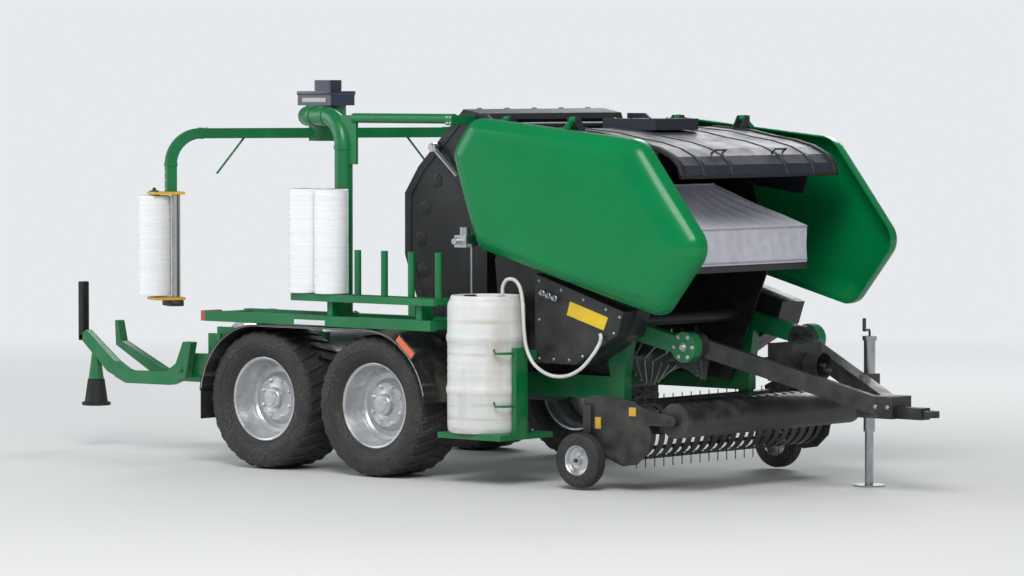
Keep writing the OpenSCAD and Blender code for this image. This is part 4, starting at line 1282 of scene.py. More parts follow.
@dataclass
class SideShells:
    """The two crowned side shells that hinge up at the roof's edge.

    Attributes:
        rim_y: Where a shell's rim stands.
        bulge: How far it stands out from there.
        wall: Its thickness.
        corners: X, Z, radius of each corner of its outline, and how far the crown is drawn in there.
        bow: How far a line of the crown bows out between two corners, as a share of its inset.
        middle: X and Z towards which the crown is drawn in.
        insets: Insets of the crown's lines from the rim.
        hinges: X of the two hinge arms.
        pin: Y and Z of their pin.
        roof: X and Z where the roof's edge starts, and its fall per metre.
        foot: X and Z where the shell's foot starts, and its fall per metre.
        sill_ends: X where the pressed sill starts and ends.
        sill_runs: How long it takes to rise at its start and at its end.
        sill_drop: How far its lower edge lies below the foot's line.
        sill_height: Its height.
        sill_proud: How far it stands out.
    """

    rim_y: float = 1.04
    bulge: float = 0.17
    wall: float = 0.01
    corners: tuple[tuple[float, float, float, float], ...] = (
        (1.4, 2.38, 0.16, 0.9), (1.29, 2.28, 0.13, 0.9), (1.48, 1.74, 0.13, 0.95), (2.96, 1.35, 0.13, 1.3),
        (3.19, 1.68, 0.16, 1.75), (2.72, 2.21, 0.2, 1.5),
    )
    bow: float = 0.3
    middle: Pair = (2.15, 1.95)
    insets: tuple[float, ...] = (0.0, 0.0, 0.004, 0.012, 0.024, 0.04, 0.058, 0.078, 0.1, 0.122, 0.145, 0.17)
    hinges: Pair = (1.5, 2.1)
    pin: Pair = (0.95, 2.53)
    roof: Spot = (1.4157, 2.5392, 0.0984)
    foot: Spot = (1.45, 1.62, 0.262)
    sill_ends: Pair = (1.95, 3.02)
    sill_runs: Pair = (0.18, 0.16)
    sill_drop: float = 0.13
    sill_height: float = 0.105
    sill_proud: float = 0.016

    def outline(self, inset: float, per_corner: int = 14, per_edge: int = 12) -> list[Pair]:
        """The rounded outline, drawn in by a distance.

        Args:
            inset: How far inside the rim, in metres.
            per_corner: Points on each corner's arc.
            per_edge: Points on each straight stretch.

        Returns:
            Equally many X and Z pairs at every inset.
        """
        count = len(self.corners)
        circles = []
        for x, z, r, reach in self.corners:
            drawn = inset * reach
            radius = max(r - drawn, 0.03)
            away = (Vector(self.middle) - Vector((x, z))).normalized() * (drawn - r + radius)
            circles.append((x + away.x, z + away.y, radius))
        arcs = []
        for i, (x, z, r) in enumerate(circles):
            ends = []
            for j in (i - 1, i):
                x0, z0, r0 = circles[j]
                x1, z1, r1 = circles[(j + 1) % count]
                heading = math.atan2(z1 - z0, x1 - x0)
                lean = math.asin((r1 - r0) / math.dist((x0, z0), (x1, z1)))
                ends.append(heading - math.pi / 2 - lean)
            while ends[1] < ends[0]:
                ends[1] += TAU
            spokes = [polar(r, a) for a in np.linspace(*ends, per_corner)]
            arcs.append([(x + dx, z + dz) for dx, dz in spokes])
        points: list[Pair] = []
        for i, arc in enumerate(arcs):
            points += arc
            (x0, z0), (x1, z1) = arc[-1], arcs[(i + 1) % count][0]
            out = Vector((z1 - z0, x0 - x1)).normalized()
            swell = min(inset, 0.09) * self.bow * min(math.dist((x0, z0), (x1, z1)), 1.0)
            points += [
                (x0 + (x1 - x0) * t + out.x * swell * math.sin(math.pi * t),
                 z0 + (z1 - z0) * t + out.y * swell * math.sin(math.pi * t))
                for t in np.linspace(0, 1, per_edge + 2)[1:-1]
            ]
        return points

    def depth(self, inset: float) -> float:
        """How far the crown stands out from the rim at an inset."""
        t = min(inset / self.insets[-1], 1.0)
        return self.bulge * (0.36 + 0.6 * (1 - (1 - t) ** 2.4) ** 0.62) if inset > 0 else 0.0

    def sill(self, x: float, z: float) -> float:
        """How far the pressed sill near the front of the foot stands out at a place.

        Args:
            x: X from the middle of the tandem.
            z: Height above the ground.

        Returns:
            The distance.
        """
        foot_x, foot_z, fall = self.foot
        foot = foot_z - (x - foot_x) * fall - self.sill_drop
        (start, end), (lead, tail) = self.sill_ends, self.sill_runs
        along = min(max((x - start) / lead, 0.0), 1.0) * min(max((end - x) / tail, 0.0), 1.0)
        up = (z - foot) / self.sill_height
        band = min(max((1.0 - up) / 0.22, 0.0), 1.0) if up > 0 else 1.0
        return self.sill_proud * along * band * (3 - 2 * along) * along

    def rings(self) -> list[list[Spot]]:
        """The crown's lines, from the rim to close to its middle, as X, distance out from the rim, and Z.

        Returns:
            The lines.
        """
        made = []
        for i, inset in enumerate(self.insets):
            lift = 0.3 * self.bulge if i == 1 else self.depth(inset)
            made.append([(x, lift + (self.sill(x, z) if i > 2 else 0.0), z) for x, z in self.outline(inset)])
        last = made[-1]
        cx, cz = self.centre(last)
        base = self.depth(self.insets[-1])
        for t in np.linspace(0, 1, 15)[1:-1]:
            crown = (self.bulge - base) * (1 - (1 - t) ** 2)
            inner = [(x + (cx - x) * t, z + (cz - z) * t) for x, _, z in last]
            made.append([(x, base + crown + self.sill(x, z), z) for x, z in inner])
        return made

    @staticmethod
    def centre(ring: Sequence[Point]) -> Pair:
        """Mean X and Z of a ring of points."""
        return sum(p[0] for p in ring) / len(ring), sum(p[2] for p in ring) / len(ring)

    def shell(self, side: Side) -> Piece:
        """One shell with its returned rim and hinge arms.

        Args:
            side: The machine's side that it is on.

        Returns:
            The shell.
        """
        rings = self.rings()
        count = len(rings[0])
        cx, cz = self.centre(rings[len(self.insets) - 1])
        made = Builder()
        made.skin([
            [at(x, side.value * (self.rim_y + y), z) for x, y, z in ring] for ring in rings
        ], capped=False)
        hub = made.bm.verts.new(at(cx, side.value * (self.rim_y + self.bulge), cz))
        inner = list(made.bm.verts)[-count - 1:-1]
        for a, b in zip(inner, inner[1:] + inner[:1]):
            made.bm.faces.new((a, b, hub))
        skin = self.thickened(made.mesh(f"shell_{side.name.lower()}_skin", Finish.SHELL), side)
        arms = Builder()
        pin_y, pin_z = side.value * self.pin[0], self.pin[1]
        rim = side.value * (self.rim_y + 0.05)
        roof_x, roof_z, fall = self.roof
        for x in self.hinges:
            top = roof_z - fall * (x - roof_x)
            arms.prism([(pin_y, pin_z + 0.02), (rim, top - 0.014), (rim, top - 0.06), (pin_y, pin_z - 0.02)],
                       TANDEM_X + x - 0.01, TANDEM_X + x + 0.01, Axis.X)
            arms.rod(at(x - 0.026, pin_y, pin_z), at(x + 0.026, pin_y, pin_z), 0.025)
        return joined(f"shell_{side.name.lower()}_crowned", [skin, arms.mesh("arms", Finish.SHELL)])

    def thickened(self, skin: Piece, side: Side) -> Piece:
        """Gives the skin its wall, towards the machine.

        Args:
            skin: The shell's outer skin.
            side: The machine's side that it is on.

        Returns:
            The same object.
        """
        bm = bmesh.new()
        bm.from_mesh(skin.data)
        crown = max(bm.verts, key=lambda v: abs(v.co.y))
        if crown.link_faces[0].normal.y * side.value < 0:
            bmesh.ops.reverse_faces(bm, faces=bm.faces)
        bm.to_mesh(skin.data)
        bm.free()
        wall = skin.modifiers.new("wall", "SOLIDIFY")
        wall.thickness = self.wall
        wall.offset = -1.0
        return evaluated(skin)

    def build(self) -> None:
        """Makes both shells."""
        for side in Side:
            tag = side.name.lower()
            dress(self.shell(side), Finish.SHELL, f"shell_door_{tag}", [f"shell_{tag}"], 40)


@dataclass
class NetCover:
    """The coated cloth cover over the net rolls.

    Attributes:
        front: X of its front face.
        foot: Height of its front hem.
        fold: Height of the fold between the front face and the slope.
        half: Half its width.
        ridge: X and Z of its ridge.
        ridge_ends: Y of the ridge's right and left ends.
        back: X and Z of its rear hem.
        fold_at: Share of the way from the front hem to the rear one at which the fold lies.
        ridge_at: Share of that way at which the ridge lies.
        cells: Cells of the cloth across and along that way.
        flap_rows: Rows of cells of an end flap.
    """

    front: float = 2.9
    foot: float = 1.527
    fold: float = 1.785
    half: float = 0.655
    ridge: Pair = (2.49, 2.078)
    ridge_ends: Pair = (-0.385, 0.115)
    back: Pair = (2.57, 1.765)
    fold_at: float = 0.35
    ridge_at: float = 0.8
    cells: tuple[int, int] = (90, 70)
    flap_rows: int = 8

    def surface(self, u: float, v: float) -> Spot:
        """A point of the cloth.

        Args:
            u: From the right edge, 0, to the left edge, 1.
            v: From the front hem, 0, over the fold and the ridge to the rear hem, 1.

        Returns:
            X from the middle of the tandem, Y and Z.
        """
        base, top = (-self.half, self.half), (*self.ridge, *self.ridge_ends)
        face, fold, ridge = self.front - 0.004, self.fold_at, self.ridge_at
        start, end, low, high = (
            (0.0, fold, (face, self.foot, *base), (face, self.fold, *base)),
            (fold, ridge, (self.front, self.fold, *base), top),
            (ridge, 1.0, top, (*self.back, 0.02 - self.half, self.half - 0.02)),
        )[(v >= fold) + (v >= ridge)]
        t = (v - start) / (end - start)
        x, z, a, b = (p + (q - p) * t for p, q in zip(low, high))
        x += 0.004 * math.sin(math.pi * t) if v < fold else 0.0
        y = a + (b - a) * u
        slope = math.sin(math.pi * min(max((v - fold) / (ridge - fold), 0), 1))
        sag = 0.022 * slope * math.sin(math.pi * u)
        folds = 0.007 * math.sin(34 * u + 3 * math.sin(5 * v)) * math.sin(math.pi * min(v / fold, 1.0)) ** 2
        pucker = 0.006 * math.sin(21 * u + 9 * v) * slope
        return x - 0.4 * sag - abs(folds) - abs(pucker) * 0.5, y, z - sag - abs(pucker)

    def flap_foot(self, edge: Vector, t: float, sign: int) -> Vector:
        """Where an end flap ends below a point of the cloth's edge.

        Args:
            edge: The point of the edge.
            t: How far along the edge it lies, from 0 to 1.
            sign: -1 for the right flap and 1 for the left one.

        Returns:
            The point of the flap's hem.
        """
        along = self.front + (self.back[0] - self.front) * min(t / 0.98, 1.0)
        low = self.foot + (self.back[1] - self.foot) * t
        wave = 0.006 * math.sin(5 * math.pi * t)
        return at(min(along, edge.x - TANDEM_X + 0.0005), sign * (self.half - abs(wave)), min(low, edge.z))

    def build(self) -> None:
        """Makes the cloth, its end flaps and its hems."""
        across, down = self.cells
        grid = [[at(*self.surface(i / across, j / down)) for i in range(across + 1)] for j in range(down + 1)]
        made = Builder()
        made.skin(grid, closed=False, capped=False)
        for i, sign in ((0, -1), (across, 1)):
            edge = [row[i] for row in grid]
            foot = [self.flap_foot(p, j / down, sign) for j, p in enumerate(edge)]
            rows = []
            for k in range(self.flap_rows + 1):
                bulge = Vector((0, -sign * 0.012 * math.sin(math.pi * k / self.flap_rows), 0))
                rows.append([p + (q - p) * k / self.flap_rows + bulge for p, q in zip(edge, foot)])
            made.skin(rows, closed=False, capped=False)
        bmesh.ops.remove_doubles(made.bm, verts=made.bm.verts, dist=1e-4)
        cloth = made.mesh("net_cover_cloth")
        dress(cloth, Finish.CLOTH, replaces=["net_cover"], sharp=60)
        hem = Builder()
        for j in (2, int(self.fold_at * down), int(self.ridge_at * down)):
            hem.tube([p + Vector((0.003, 0, 0.001)) for p in grid[j]], 0.0045, 8)
        seams = dress(hem.mesh("net_cover_seams"), Finish.SEAM, sharp=60)


def foot_of(node: str) -> Vector:
    """The middle of the underside of a node's box."""
    low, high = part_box(node)
    return Vector(((low.x + high.x) / 2, (low.y + high.y) / 2, low.z))


@dataclass
class FilmRolls:
    """Film rolls on the dispensers and on the rack.

    Attributes:
        radius: Radius of a full roll.
        length: Its length.
        core: Outside radius of its cardboard core.
        bore: Inside radius of the core.
        spare_bore: Radius of the bar that fills the core of a spare roll.
    """

    radius: float = 0.1225
    length: float = 0.75
    core: float = 0.044
    bore: float = 0.038
    spare_bore: float = 0.027

    def roll(self, name: str, place: Vector, bore: float) -> Piece:
        """A wound roll with its core, standing on a place.

        Args:
            name: The roll's name.
            place: Middle of its underside.
            bore: Inside radius of its core.

        Returns:
            The roll.
        """
        r, h, c = self.radius, self.length, self.core
        film = Builder().turned([
            (c, 0.002), (r - 0.012, 0.003), (r - 0.004, 0.0045), (r - 0.0008, 0.009), (r - 0.0004, h * 0.3),
            (r - 0.0016, h * 0.5), (r - 0.0003, h * 0.72), (r - 0.0008, h - 0.009), (r - 0.004, h - 0.0045),
            (r - 0.012, h - 0.003), (c, h - 0.002), (c, 0.002),
        ], place, steps=72).mesh(name + "_film", Finish.FILM)
        section = [(bore, 0), (c, 0), (c, h), (bore, h), (bore, 0)]
        tube = Builder().turned(section, place).mesh(name + "_core", Finish.CORE)
        return joined(name, [film, tube])

    def build(self) -> None:
        """Makes the two rolls in use and the two spares."""
        for label in ("front", "rear"):
            node = f"film_roll_{label}"
            wound = self.roll(f"film_{label}_wound", foot_of(node), self.bore)
            dress(wound, Finish.FILM, f"roll_{label}", [node], 30)
        low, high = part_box("spare_film_rolls")
        foot = foot_of("spare_film_rolls")
        spares = [
            self.roll("spare", Vector((x, foot.y, foot.z)), self.spare_bore)
            for x in (low.x + self.radius, high.x - self.radius)
        ]
        dress(joined("spare_rolls_wound", spares), Finish.FILM, replaces=["spare_film_rolls"], sharp=30)


@dataclass
class Barrel:
    """The additive barrel with its hoops, ribs, chimes and bungs, and the two hooks that hold it.

    Attributes:
        ribs: Fine ribs between the two hoops.
        hoops: Heights of the hoops as shares of the barrel's height.
        caps: How far each bung lies in front of the barrel's middle, and its radius.
        hook_heights: Heights of the two hooks.
        hook: X and Y of a hook's line.
    """

    ribs: int = 5
    hoops: Pair = (0.31, 0.69)
    caps: Line = ((0.15, 0.036), (-0.15, 0.042))
    hook_heights: Pair = (0.56, 0.925)
    hook: Line = ((1.81, -1.235), (1.812, -1.29), (1.79, -1.34), (1.752, -1.372))

    def profile(self, r: float, h: float) -> list[Pair]:
        """The barrel's section as radius and height, from its underside to its lid.

        Args:
            r: The barrel's radius over its hoops.
            h: Its height.

        Returns:
            The section's points.
        """
        low, high = (
            [(r - 0.008, z - 0.036), (r - 0.004, z - 0.024), (r, z - 0.012), (r, z + 0.012),
             (r - 0.004, z + 0.024), (r - 0.008, z + 0.036)]
            for z in (share * h for share in self.hoops)
        )
        ribs = []
        for k in range(self.ribs):
            z = self.hoops[0] * h + 0.07 + k * (0.38 * h - 0.14) / (self.ribs - 1)
            ribs += [(r - 0.0085, z - 0.012), (r - 0.0105, z), (r - 0.0085, z + 0.012)]
        return [
            (0, 0.012), (r - 0.06, 0.012), (r - 0.045, 0.0), (r - 0.022, 0.0), (r - 0.012, 0.012),
            (r - 0.009, 0.05), *low, *ribs, *high, (r - 0.009, h - 0.075), (r - 0.014, h - 0.05),
            (r - 0.026, h - 0.03), (r - 0.03, h - 0.012), (r - 0.038, h), (r - 0.052, h),
            (r - 0.06, h - 0.012), (r - 0.062, h - 0.024), (0, h - 0.024),
        ]

    def build(self) -> None:
        """Makes the barrel from the frame's box, then its bungs and hooks."""
        low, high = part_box("additive_barrel")
        r, h = (high.x - low.x) / 2, high.z - low.z
        place = foot_of("additive_barrel")
        shape = Builder().turned(self.profile(r, h), place, steps=96).mesh("barrel_blown")
        dress(shape, Finish.BARREL, replaces=["additive_barrel"], sharp=45)
        caps = Builder()
        grip = Vector((0.003, 0.003, 0.009))
        for dx, radius in self.caps:
            spot = place + Vector((dx, 0, h - 0.024))
            cap = [(0, 0.022), (radius - 0.004, 0.022), (radius, 0.018), (radius, 0.0), (0, 0)]
            caps.turned(cap, spot, steps=24)
            for k in range(12):
                rib = spot + Vector((*polar(radius, TAU * k / 12), 0.01))
                caps.box(rib - grip, rib + grip, 0.0)
        dress(caps.mesh("barrel_caps"), Finish.GUARD)
        hooks = Builder()
        for z in self.hook_heights:
            hooks.tube([*(at(x, y, z) for x, y in self.hook), at(1.742, -1.376, z + 0.03)], 0.009, 12)
        dress(hooks.mesh("barrel_hooks"), Finish.GREEN, sharp=60)


def lay_strip(made: Builder, line: Outline, low: float, high: float, lift: float) -> None:
    """Lays a raised band on a skin, along a line in X and Z and between two places across it.

    Args:
        made: The builder that gets the band.
        line: The skin's line, with the outside on its left.
        low: Where the band starts in Y.
        high: Where it ends.
        lift: How far it stands proud.
    """
    rings = []
    edge = 0.8 * lift
    for i, (x, z) in enumerate(line):
        a, b = line[max(i - 1, 0)], line[min(i + 1, len(line) - 1)]
        out = Vector((a[1] - b[1], 0, b[0] - a[0])).normalized()
        foot, top = at(x, 0, z) - 0.003 * out, at(x, 0, z) + lift * out
        rings.append([
            foot + Vector((0, low, 0)), top + Vector((0, low + edge, 0)), top + Vector((0, high - edge, 0)),
            foot + Vector((0, high, 0)),
        ])
    made.skin(rings)


@dataclass
class HoodTrim:
    """Black rubber edges, ribs and handles of the slate hood.

    Attributes:
        line: The hood's outer line in X and Z, from the rear to the front.
        half: Half the hood's width.
        ribs: Y of its pressed ribs.
        handles: Y of its handles' right ends.
        handle: X and Z of a handle's foot and of its bar.
        cap_bolts: X of the bolts on its cap.
    """

    line: Line = (
        (1.9, 2.47), (2.25, 2.44), (2.45, 2.402), (2.64, 2.375), (2.8, 2.335), (2.91, 2.285), (2.975, 2.225),
        (3.0, 2.15),
    )
    half: float = 0.888
    ribs: tuple[float, ...] = (-0.62, -0.31, 0.31, 0.62)
    handles: Pair = (-0.4, 0.28)
    handle: Line = ((2.872, 2.302), (2.905, 2.325))
    cap_bolts: tuple[float, ...] = (1.83, 2.0, 2.17)

    def build(self) -> None:
        """Makes the edges, the lip, the pressed ribs and the grab handles."""
        rubber = Builder()
        for side in Side:
            lay_strip(rubber, self.line, *side.span(self.half - 0.055, self.half + 0.001), 0.012)
        x, z = self.line[-1]
        rubber.tube([at(x - 0.008, y, z - 0.002) for y in np.linspace(-self.half, self.half, 12)], 0.014, 12)
        dress(rubber.mesh("hood_edges"), Finish.SLEEVE, sharp=40)
        ribs = Builder()
        for y in self.ribs:
            lay_strip(ribs, self.line, y - 0.02, y + 0.02, 0.006)
        dress(ribs.mesh("hood_ribs"), Finish.SLATE, sharp=50)
        handles = Builder()
        (x0, z0), (x1, z1) = self.handle
        for y in self.handles:
            grip = ((x0, y, z0), (x1, y, z1), (x1, y + 0.12, z1), (x0, y + 0.12, z0))
            handles.tube([at(*p) for p in grip], 0.007, 10)
        for x in self.cap_bolts:
            for y in (-0.2, 0.2):
                handles.bolt(at(x, y, 2.535), (0, 0, 1), 0.009)
        dress(handles.mesh("hood_handles"), Finish.DARK)


@dataclass
class GateTrim:
    """Bearing caps, edge flanges and bolts of the tailgate and the chamber's side plates.

    Attributes:
        centre: X and Z of the bale chamber.
        reach: Radius on which the rollers lie.
        gate_y: Half the tailgate's width.
        angles: Where the rollers lie on that radius, in degrees.
        flange: The side plate's edge in X and Z.
        rear: The rear skin in X and Z, from its foot to its top.
        drawn: Share of the way to the chamber's middle by which the flange's inner edge is drawn in.
        ribs: Y of the rear skin's ribs.
    """

    centre: Pair = (1.25, 1.65)
    reach: float = 0.715
    gate_y: float = 0.78
    angles: tuple[int, ...] = (106, 124, 142, 160, 178, 196, 214, 231, 248)
    flange: Line = (
        (1.09, 2.56), (0.94, 2.585), (0.52, 2.18), (0.395, 1.995), (0.395, 1.565), (0.515, 1.245),
        (0.75, 0.893), (0.905, 0.825),
    )
    rear: Line = (
        (0.74, 0.88), (0.5, 1.24), (0.38, 1.56), (0.38, 2.0), (0.51, 2.19), (0.94, 2.6),
    )
    drawn: float = 0.055
    ribs: tuple[float, ...] = (-0.6, -0.3, 0.0, 0.3, 0.6)

    def build(self) -> None:
        """Makes the caps, the flanges and the rear skin's ribs, which all ride on the gate."""
        caps, edge = Builder(), Builder()
        cap = [(0.05, -0.002), (0.05, 0.005), (0.046, 0.007), (0.03, 0.007), (0.028, 0.0115), (0.01, 0.013),
               (0, 0.013)]
        cx, cz = self.centre
        inner = [(x + (cx - x) * self.drawn, z + (cz - z) * self.drawn) for x, z in self.flange]
        for side in Side:
            for a in self.angles:
                dx, dz = polar(self.reach, math.radians(a))
                x, z = cx + dx, cz + dz
                caps.turned(cap, at(x, side.value * self.gate_y, z), Axis.Y, 24, side is Side.RIGHT)
                for turn in (0, 120, 240):
                    dx, dz = polar(0.041, math.radians(a + turn))
                    spot = at(x + dx, side.value * (self.gate_y + 0.006), z + dz)
                    caps.bolt(spot, (0, side.value, 0), 0.006)
            low, high = side.span(self.gate_y - 0.001, self.gate_y + 0.007)
            for outline in zip(self.flange, self.flange[1:], inner[1:], inner):
                edge.prism(from_tandem(outline), low, high, bevel=0.0015)
        ribs = Builder()
        for y in self.ribs:
            lay_strip(ribs, self.rear, y - 0.03, y + 0.03, 0.012)
        dress(ribs.mesh("gate_ribs"), Finish.DARK, "gate", (), 50)
        dress(caps.mesh("gate_bearing_caps"), Finish.DARK, "gate")
        dress(edge.mesh("gate_flanges"), Finish.DARK, "gate")


@dataclass
class DriveTrim:
    """Bolts, the blank yellow plate and the couplings on the drive housings.

    Attributes:
        face: Distance of the housings' outer faces from the machine's middle plane.
        bolts: X and Z of the bolts.
        plate: Outline of the plate.
        couplings: X and Z of the couplings.
    """

    face: float = 1.02
    bolts: Line = (
        (1.85, 1.42), (2.05, 1.36), (2.25, 1.3), (2.45, 1.24), (2.57, 1.19), (2.52, 1.08), (2.38, 0.99),
        (2.24, 0.91), (2.12, 0.88), (1.98, 0.88), (1.85, 0.88), (1.85, 1.15),
    )
    plate: Line = ((2.13, 1.285), (2.47, 1.185), (2.43, 1.095), (2.1, 1.19))
    couplings: Line = ((1.9, 1.335), (1.955, 1.318), (2.01, 1.302))

    def build(self) -> None:
        """Makes the fittings of both housings."""
        bolts = Builder()
        for side in Side:
            for x, z in self.bolts:
                bolts.bolt(at(x, side.value * (self.face + 0.0015), z), (0, side.value, 0), 0.009)
        dress(bolts.mesh("drive_bolts"), Finish.STEEL)
        plate = Builder().prism(from_tandem(self.plate), -self.face - 0.005, -self.face + 0.001, bevel=0.0015)
        dress(plate.mesh("blank_yellow_plate"), Finish.PLATE)
        couplings, collars = Builder(), Builder()
        plug = [(0.022, -0.002), (0.022, 0.03), (0.016, 0.034), (0.014, 0.05), (0.008, 0.052), (0, 0.052)]
        collar = [(0.0225, 0.008), (0.0245, 0.01), (0.0245, 0.022), (0.0225, 0.024), (0.0225, 0.008)]
        for x, z in self.couplings:
            couplings.turned(plug, at(x, -self.face, z), Axis.Y, 24, True)
            collars.turned(collar, at(x, -self.face, z), Axis.Y, 24, True)
        dress(couplings.mesh("housing_couplings"), Finish.STEEL)
        dress(collars.mesh("coupling_collars"), Finish.NAVY)


@dataclass
class GuardTrim:
    """Light edges, flaps, reflectors and lamp lenses round the mudguards and decks.

    Attributes:
        pitch_half: Half the distance between the axles.
        centre_z: Height of the guards' middles.
        radius: Radius of a guard.
        outer_y: Distance of the guards' outer edges from the machine's middle plane.
        flap: Distances of a flap's edges from that plane.
        flap_bolts: Distances of its bolts from that plane.
        amber_angle: Where the amber reflector lies on the front guard, in degrees.
    """

    pitch_half: float = AXLE_HALF
    centre_z: float = 0.485
    radius: float = 0.556
    outer_y: float = 1.374
    flap: Pair = (0.89, 1.36)
    flap_bolts: tuple[float, ...] = (0.95, 1.12, 1.3)
    amber_angle: float = 50.0

    def edge(self) -> list[Pair]:
        """The guard's outer edge in X and Z, from the rear over both wheels to the front.

        Returns:
            The edge's points.
        """
        made = []
        for middle, angles in ((-self.pitch_half, range(172, 89, -6)), (self.pitch_half, range(90, 7, -6))):
            spokes = [polar(self.radius, math.radians(a)) for a in angles]
            made += [(middle + x, self.centre_z + z) for x, z in spokes]
        return made

    def build(self) -> None:
        """Makes the trim of both sides."""
        edges, flaps, amber, white, backs = Builder(), Builder(), Builder(), Builder(), Builder()
        for side in Side:
            k = side.value
            edges.tube([at(x, k * self.outer_y, z) for x, z in self.edge()], 0.006, 8)
            low, high = side.span(*self.flap)
            flaps.box(at(-1.106, low, 0.34), at(-1.0975, high, 0.6), 0.002)
            for y in self.flap_bolts:
                flaps.bolt(at(-1.1062, k * y, 0.575), (-1, 0, 0), 0.009)
            out = Vector(polar(1, math.radians(self.amber_angle)))
            along = Vector((-out.y, out.x))
            middle = Vector((self.pitch_half, self.centre_z)) + (self.radius + 0.036) * out
            for made, grow, near, far in ((amber, 0.0, 1.374, 1.38), (backs, 0.008, 1.366, 1.375)):
                corners = [middle + u * (0.095 + grow) * along + v * (0.024 + grow) * out
                           for u, v in ((-1, -1), (1, -1), (1, 1), (-1, 1))]
                made.prism(from_tandem(corners), *side.span(near, far), bevel=0.0015)
            low, high = side.span(1.359, 1.367)
            white.box(at(-0.16, low, 1.062), at(0.14, high, 1.098), 0.002)
            for y, radius, made in ((1.215, 0.026, amber), (1.325, 0.022, white)):
                lens = [(0, 0.007), (radius * 0.8, 0.006), (radius, 0.002), (radius, -0.002), (0, -0.002)]
                made.turned(lens, at(-1.1, k * y, 1.0925), Axis.X, 28, True)
        dress(edges.mesh("guard_edges"), Finish.LIP, sharp=60)
        dress(flaps.mesh("guard_flaps"), Finish.SLEEVE)
        dress(backs.mesh("reflector_backs"), Finish.GUARD)
        dress(amber.mesh("reflectors_amber"), Finish.AMBER)
        dress(white.mesh("reflectors_white"), Finish.WHITE)


@dataclass
class BaleTipper:
    """The bale tipper behind the wrap table, with black rubber on its uprights and foot.

    Attributes:
        arm: Outline of each side arm in X and Z.
        tail: Outline of the right arm's tail.
        finger: Outline of the inner finger.
        inner_y: Inner side of the side arms.
        width: Width of a side arm.
        foot: Place of the foot's underside.
        shaft: X and Z of the shaft.
    """

    arm: Line = (
        (-1.74, 0.85), (-1.83, 0.85), (-1.9, 0.68), (-2.01, 0.615), (-2.4, 0.605), (-2.52, 0.64),
        (-2.56, 0.56), (-2.44, 0.515), (-1.96, 0.52), (-1.8, 0.58),
    )
    tail: Line = (
        (-2.4, 0.603), (-2.56, 0.675), (-2.87, 0.905), (-2.95, 0.85), (-2.64, 0.595), (-2.43, 0.517),
    )
    finger: Line = (
        (-1.85, 0.68), (-2.01, 0.615), (-2.42, 0.605), (-2.87, 0.8), (-2.9, 0.96), (-2.94, 0.96),
        (-2.93, 0.77), (-2.44, 0.52), (-1.96, 0.52), (-1.85, 0.6),
    )
    inner_y: float = 0.748
    width: float = 0.07
    foot: Spot = (-2.79, -0.783, 0.33)
    shaft: Pair = (-1.85, 0.64)

    def build(self) -> None:
        """Makes the arms with their shaft, then the rubber."""
        steel = Builder()
        outer = self.inner_y + self.width
        slabs = [(self.arm, self.inner_y, outer), (self.arm, -outer, -self.inner_y),
                 (self.tail, 0.002 - outer, -self.inner_y - 0.002), (self.finger, -0.44, -0.37)]
        for outline, low, high in slabs:
            steel.prism(from_tandem(outline), low, high, bevel=0.004)
        x, z = self.shaft
        for half, radius in ((0.67, 0.045), (0.755, 0.03)):
            steel.rod(at(x, -half, z), at(x, half, z), radius, 40)
        steel.turned([(0, 0.04), (0.079, 0.04), (0.03, 0.42), (0, 0.42)], at(*self.foot), steps=40)
        for side in Side:
            steel.bolt(at(x, side.value * (outer + 0.0015), z), (0, side.value, 0), 0.02)
        dress(steel.mesh("tipper_arms"), Finish.GREEN, "tipper", ["bale_tipper"], 30)
        rubber = Builder()
        for near, far in ((0.748, 0.774), (0.79, 0.816)):
            rubber.box(at(-2.95, -far, 0.82), at(-2.9, -near, 1.27), 0.007)
        rubber.turned([
            (0, 0), (0.104, 0), (0.11, 0.005), (0.11, 0.02), (0.105, 0.025), (0.091, 0.026), (0.087, 0.036),
            (0.064, 0.2), (0.06, 0.203), (0, 0.203),
        ], at(*self.foot))
        dress(rubber.mesh("tipper_rubber"), Finish.SLEEVE, "tipper", (), 40)


@dataclass
class GaugeWheels:
    """The pickup's two small gauge wheels: ribbed rubber on pressed rims."""

    place: Spot = (2.3, 1.11, 0.205)

    def build(self) -> None:
        """Makes both wheels."""
        rubber = [
            (0.1, -0.042), (0.106, -0.051), (0.15, -0.055), (0.172, -0.051), (0.185, -0.041), (0.189, -0.03),
            (0.183, -0.028), (0.183, -0.022), (0.19, -0.02), (0.19, -0.005), (0.184, -0.003), (0.184, 0.003),
            (0.19, 0.005), (0.19, 0.02), (0.183, 0.022), (0.183, 0.028), (0.189, 0.03), (0.185, 0.041),
            (0.172, 0.051), (0.15, 0.055), (0.106, 0.051), (0.1, 0.042), (0.1, -0.042),
        ]
        pressed = [
            (0.0155, -0.05), (0.03, -0.05), (0.033, -0.014), (0.07, -0.006), (0.088, -0.012), (0.096, -0.04),
            (0.1035, -0.047), (0.1035, -0.041), (0.1005, -0.036), (0.1005, 0.036), (0.1035, 0.041),
            (0.1035, 0.047), (0.096, 0.04), (0.088, 0.008), (0.07, 0.002), (0.033, 0.012), (0.03, 0.05),
            (0.0155, 0.05), (0.0155, -0.05),
        ]
        x, y, z = self.place
        for side in Side:
            tag = side.name.lower()
            place = at(x, side.value * y, z)
            parts = []
            for profile, finish in ((rubber, Finish.TYRE), (pressed, Finish.RIM)):
                part = Builder().turned(profile, place, Axis.Y, 56)
                parts.append(part.mesh(f"gauge_{tag}_{finish.name.lower()}", finish))
            wheel = joined(f"gauge_wheel_{tag}_ribbed", parts)
            dress(wheel, Finish.TYRE, f"gauge_{tag}", [f"gauge_wheel_{tag}"], 30)


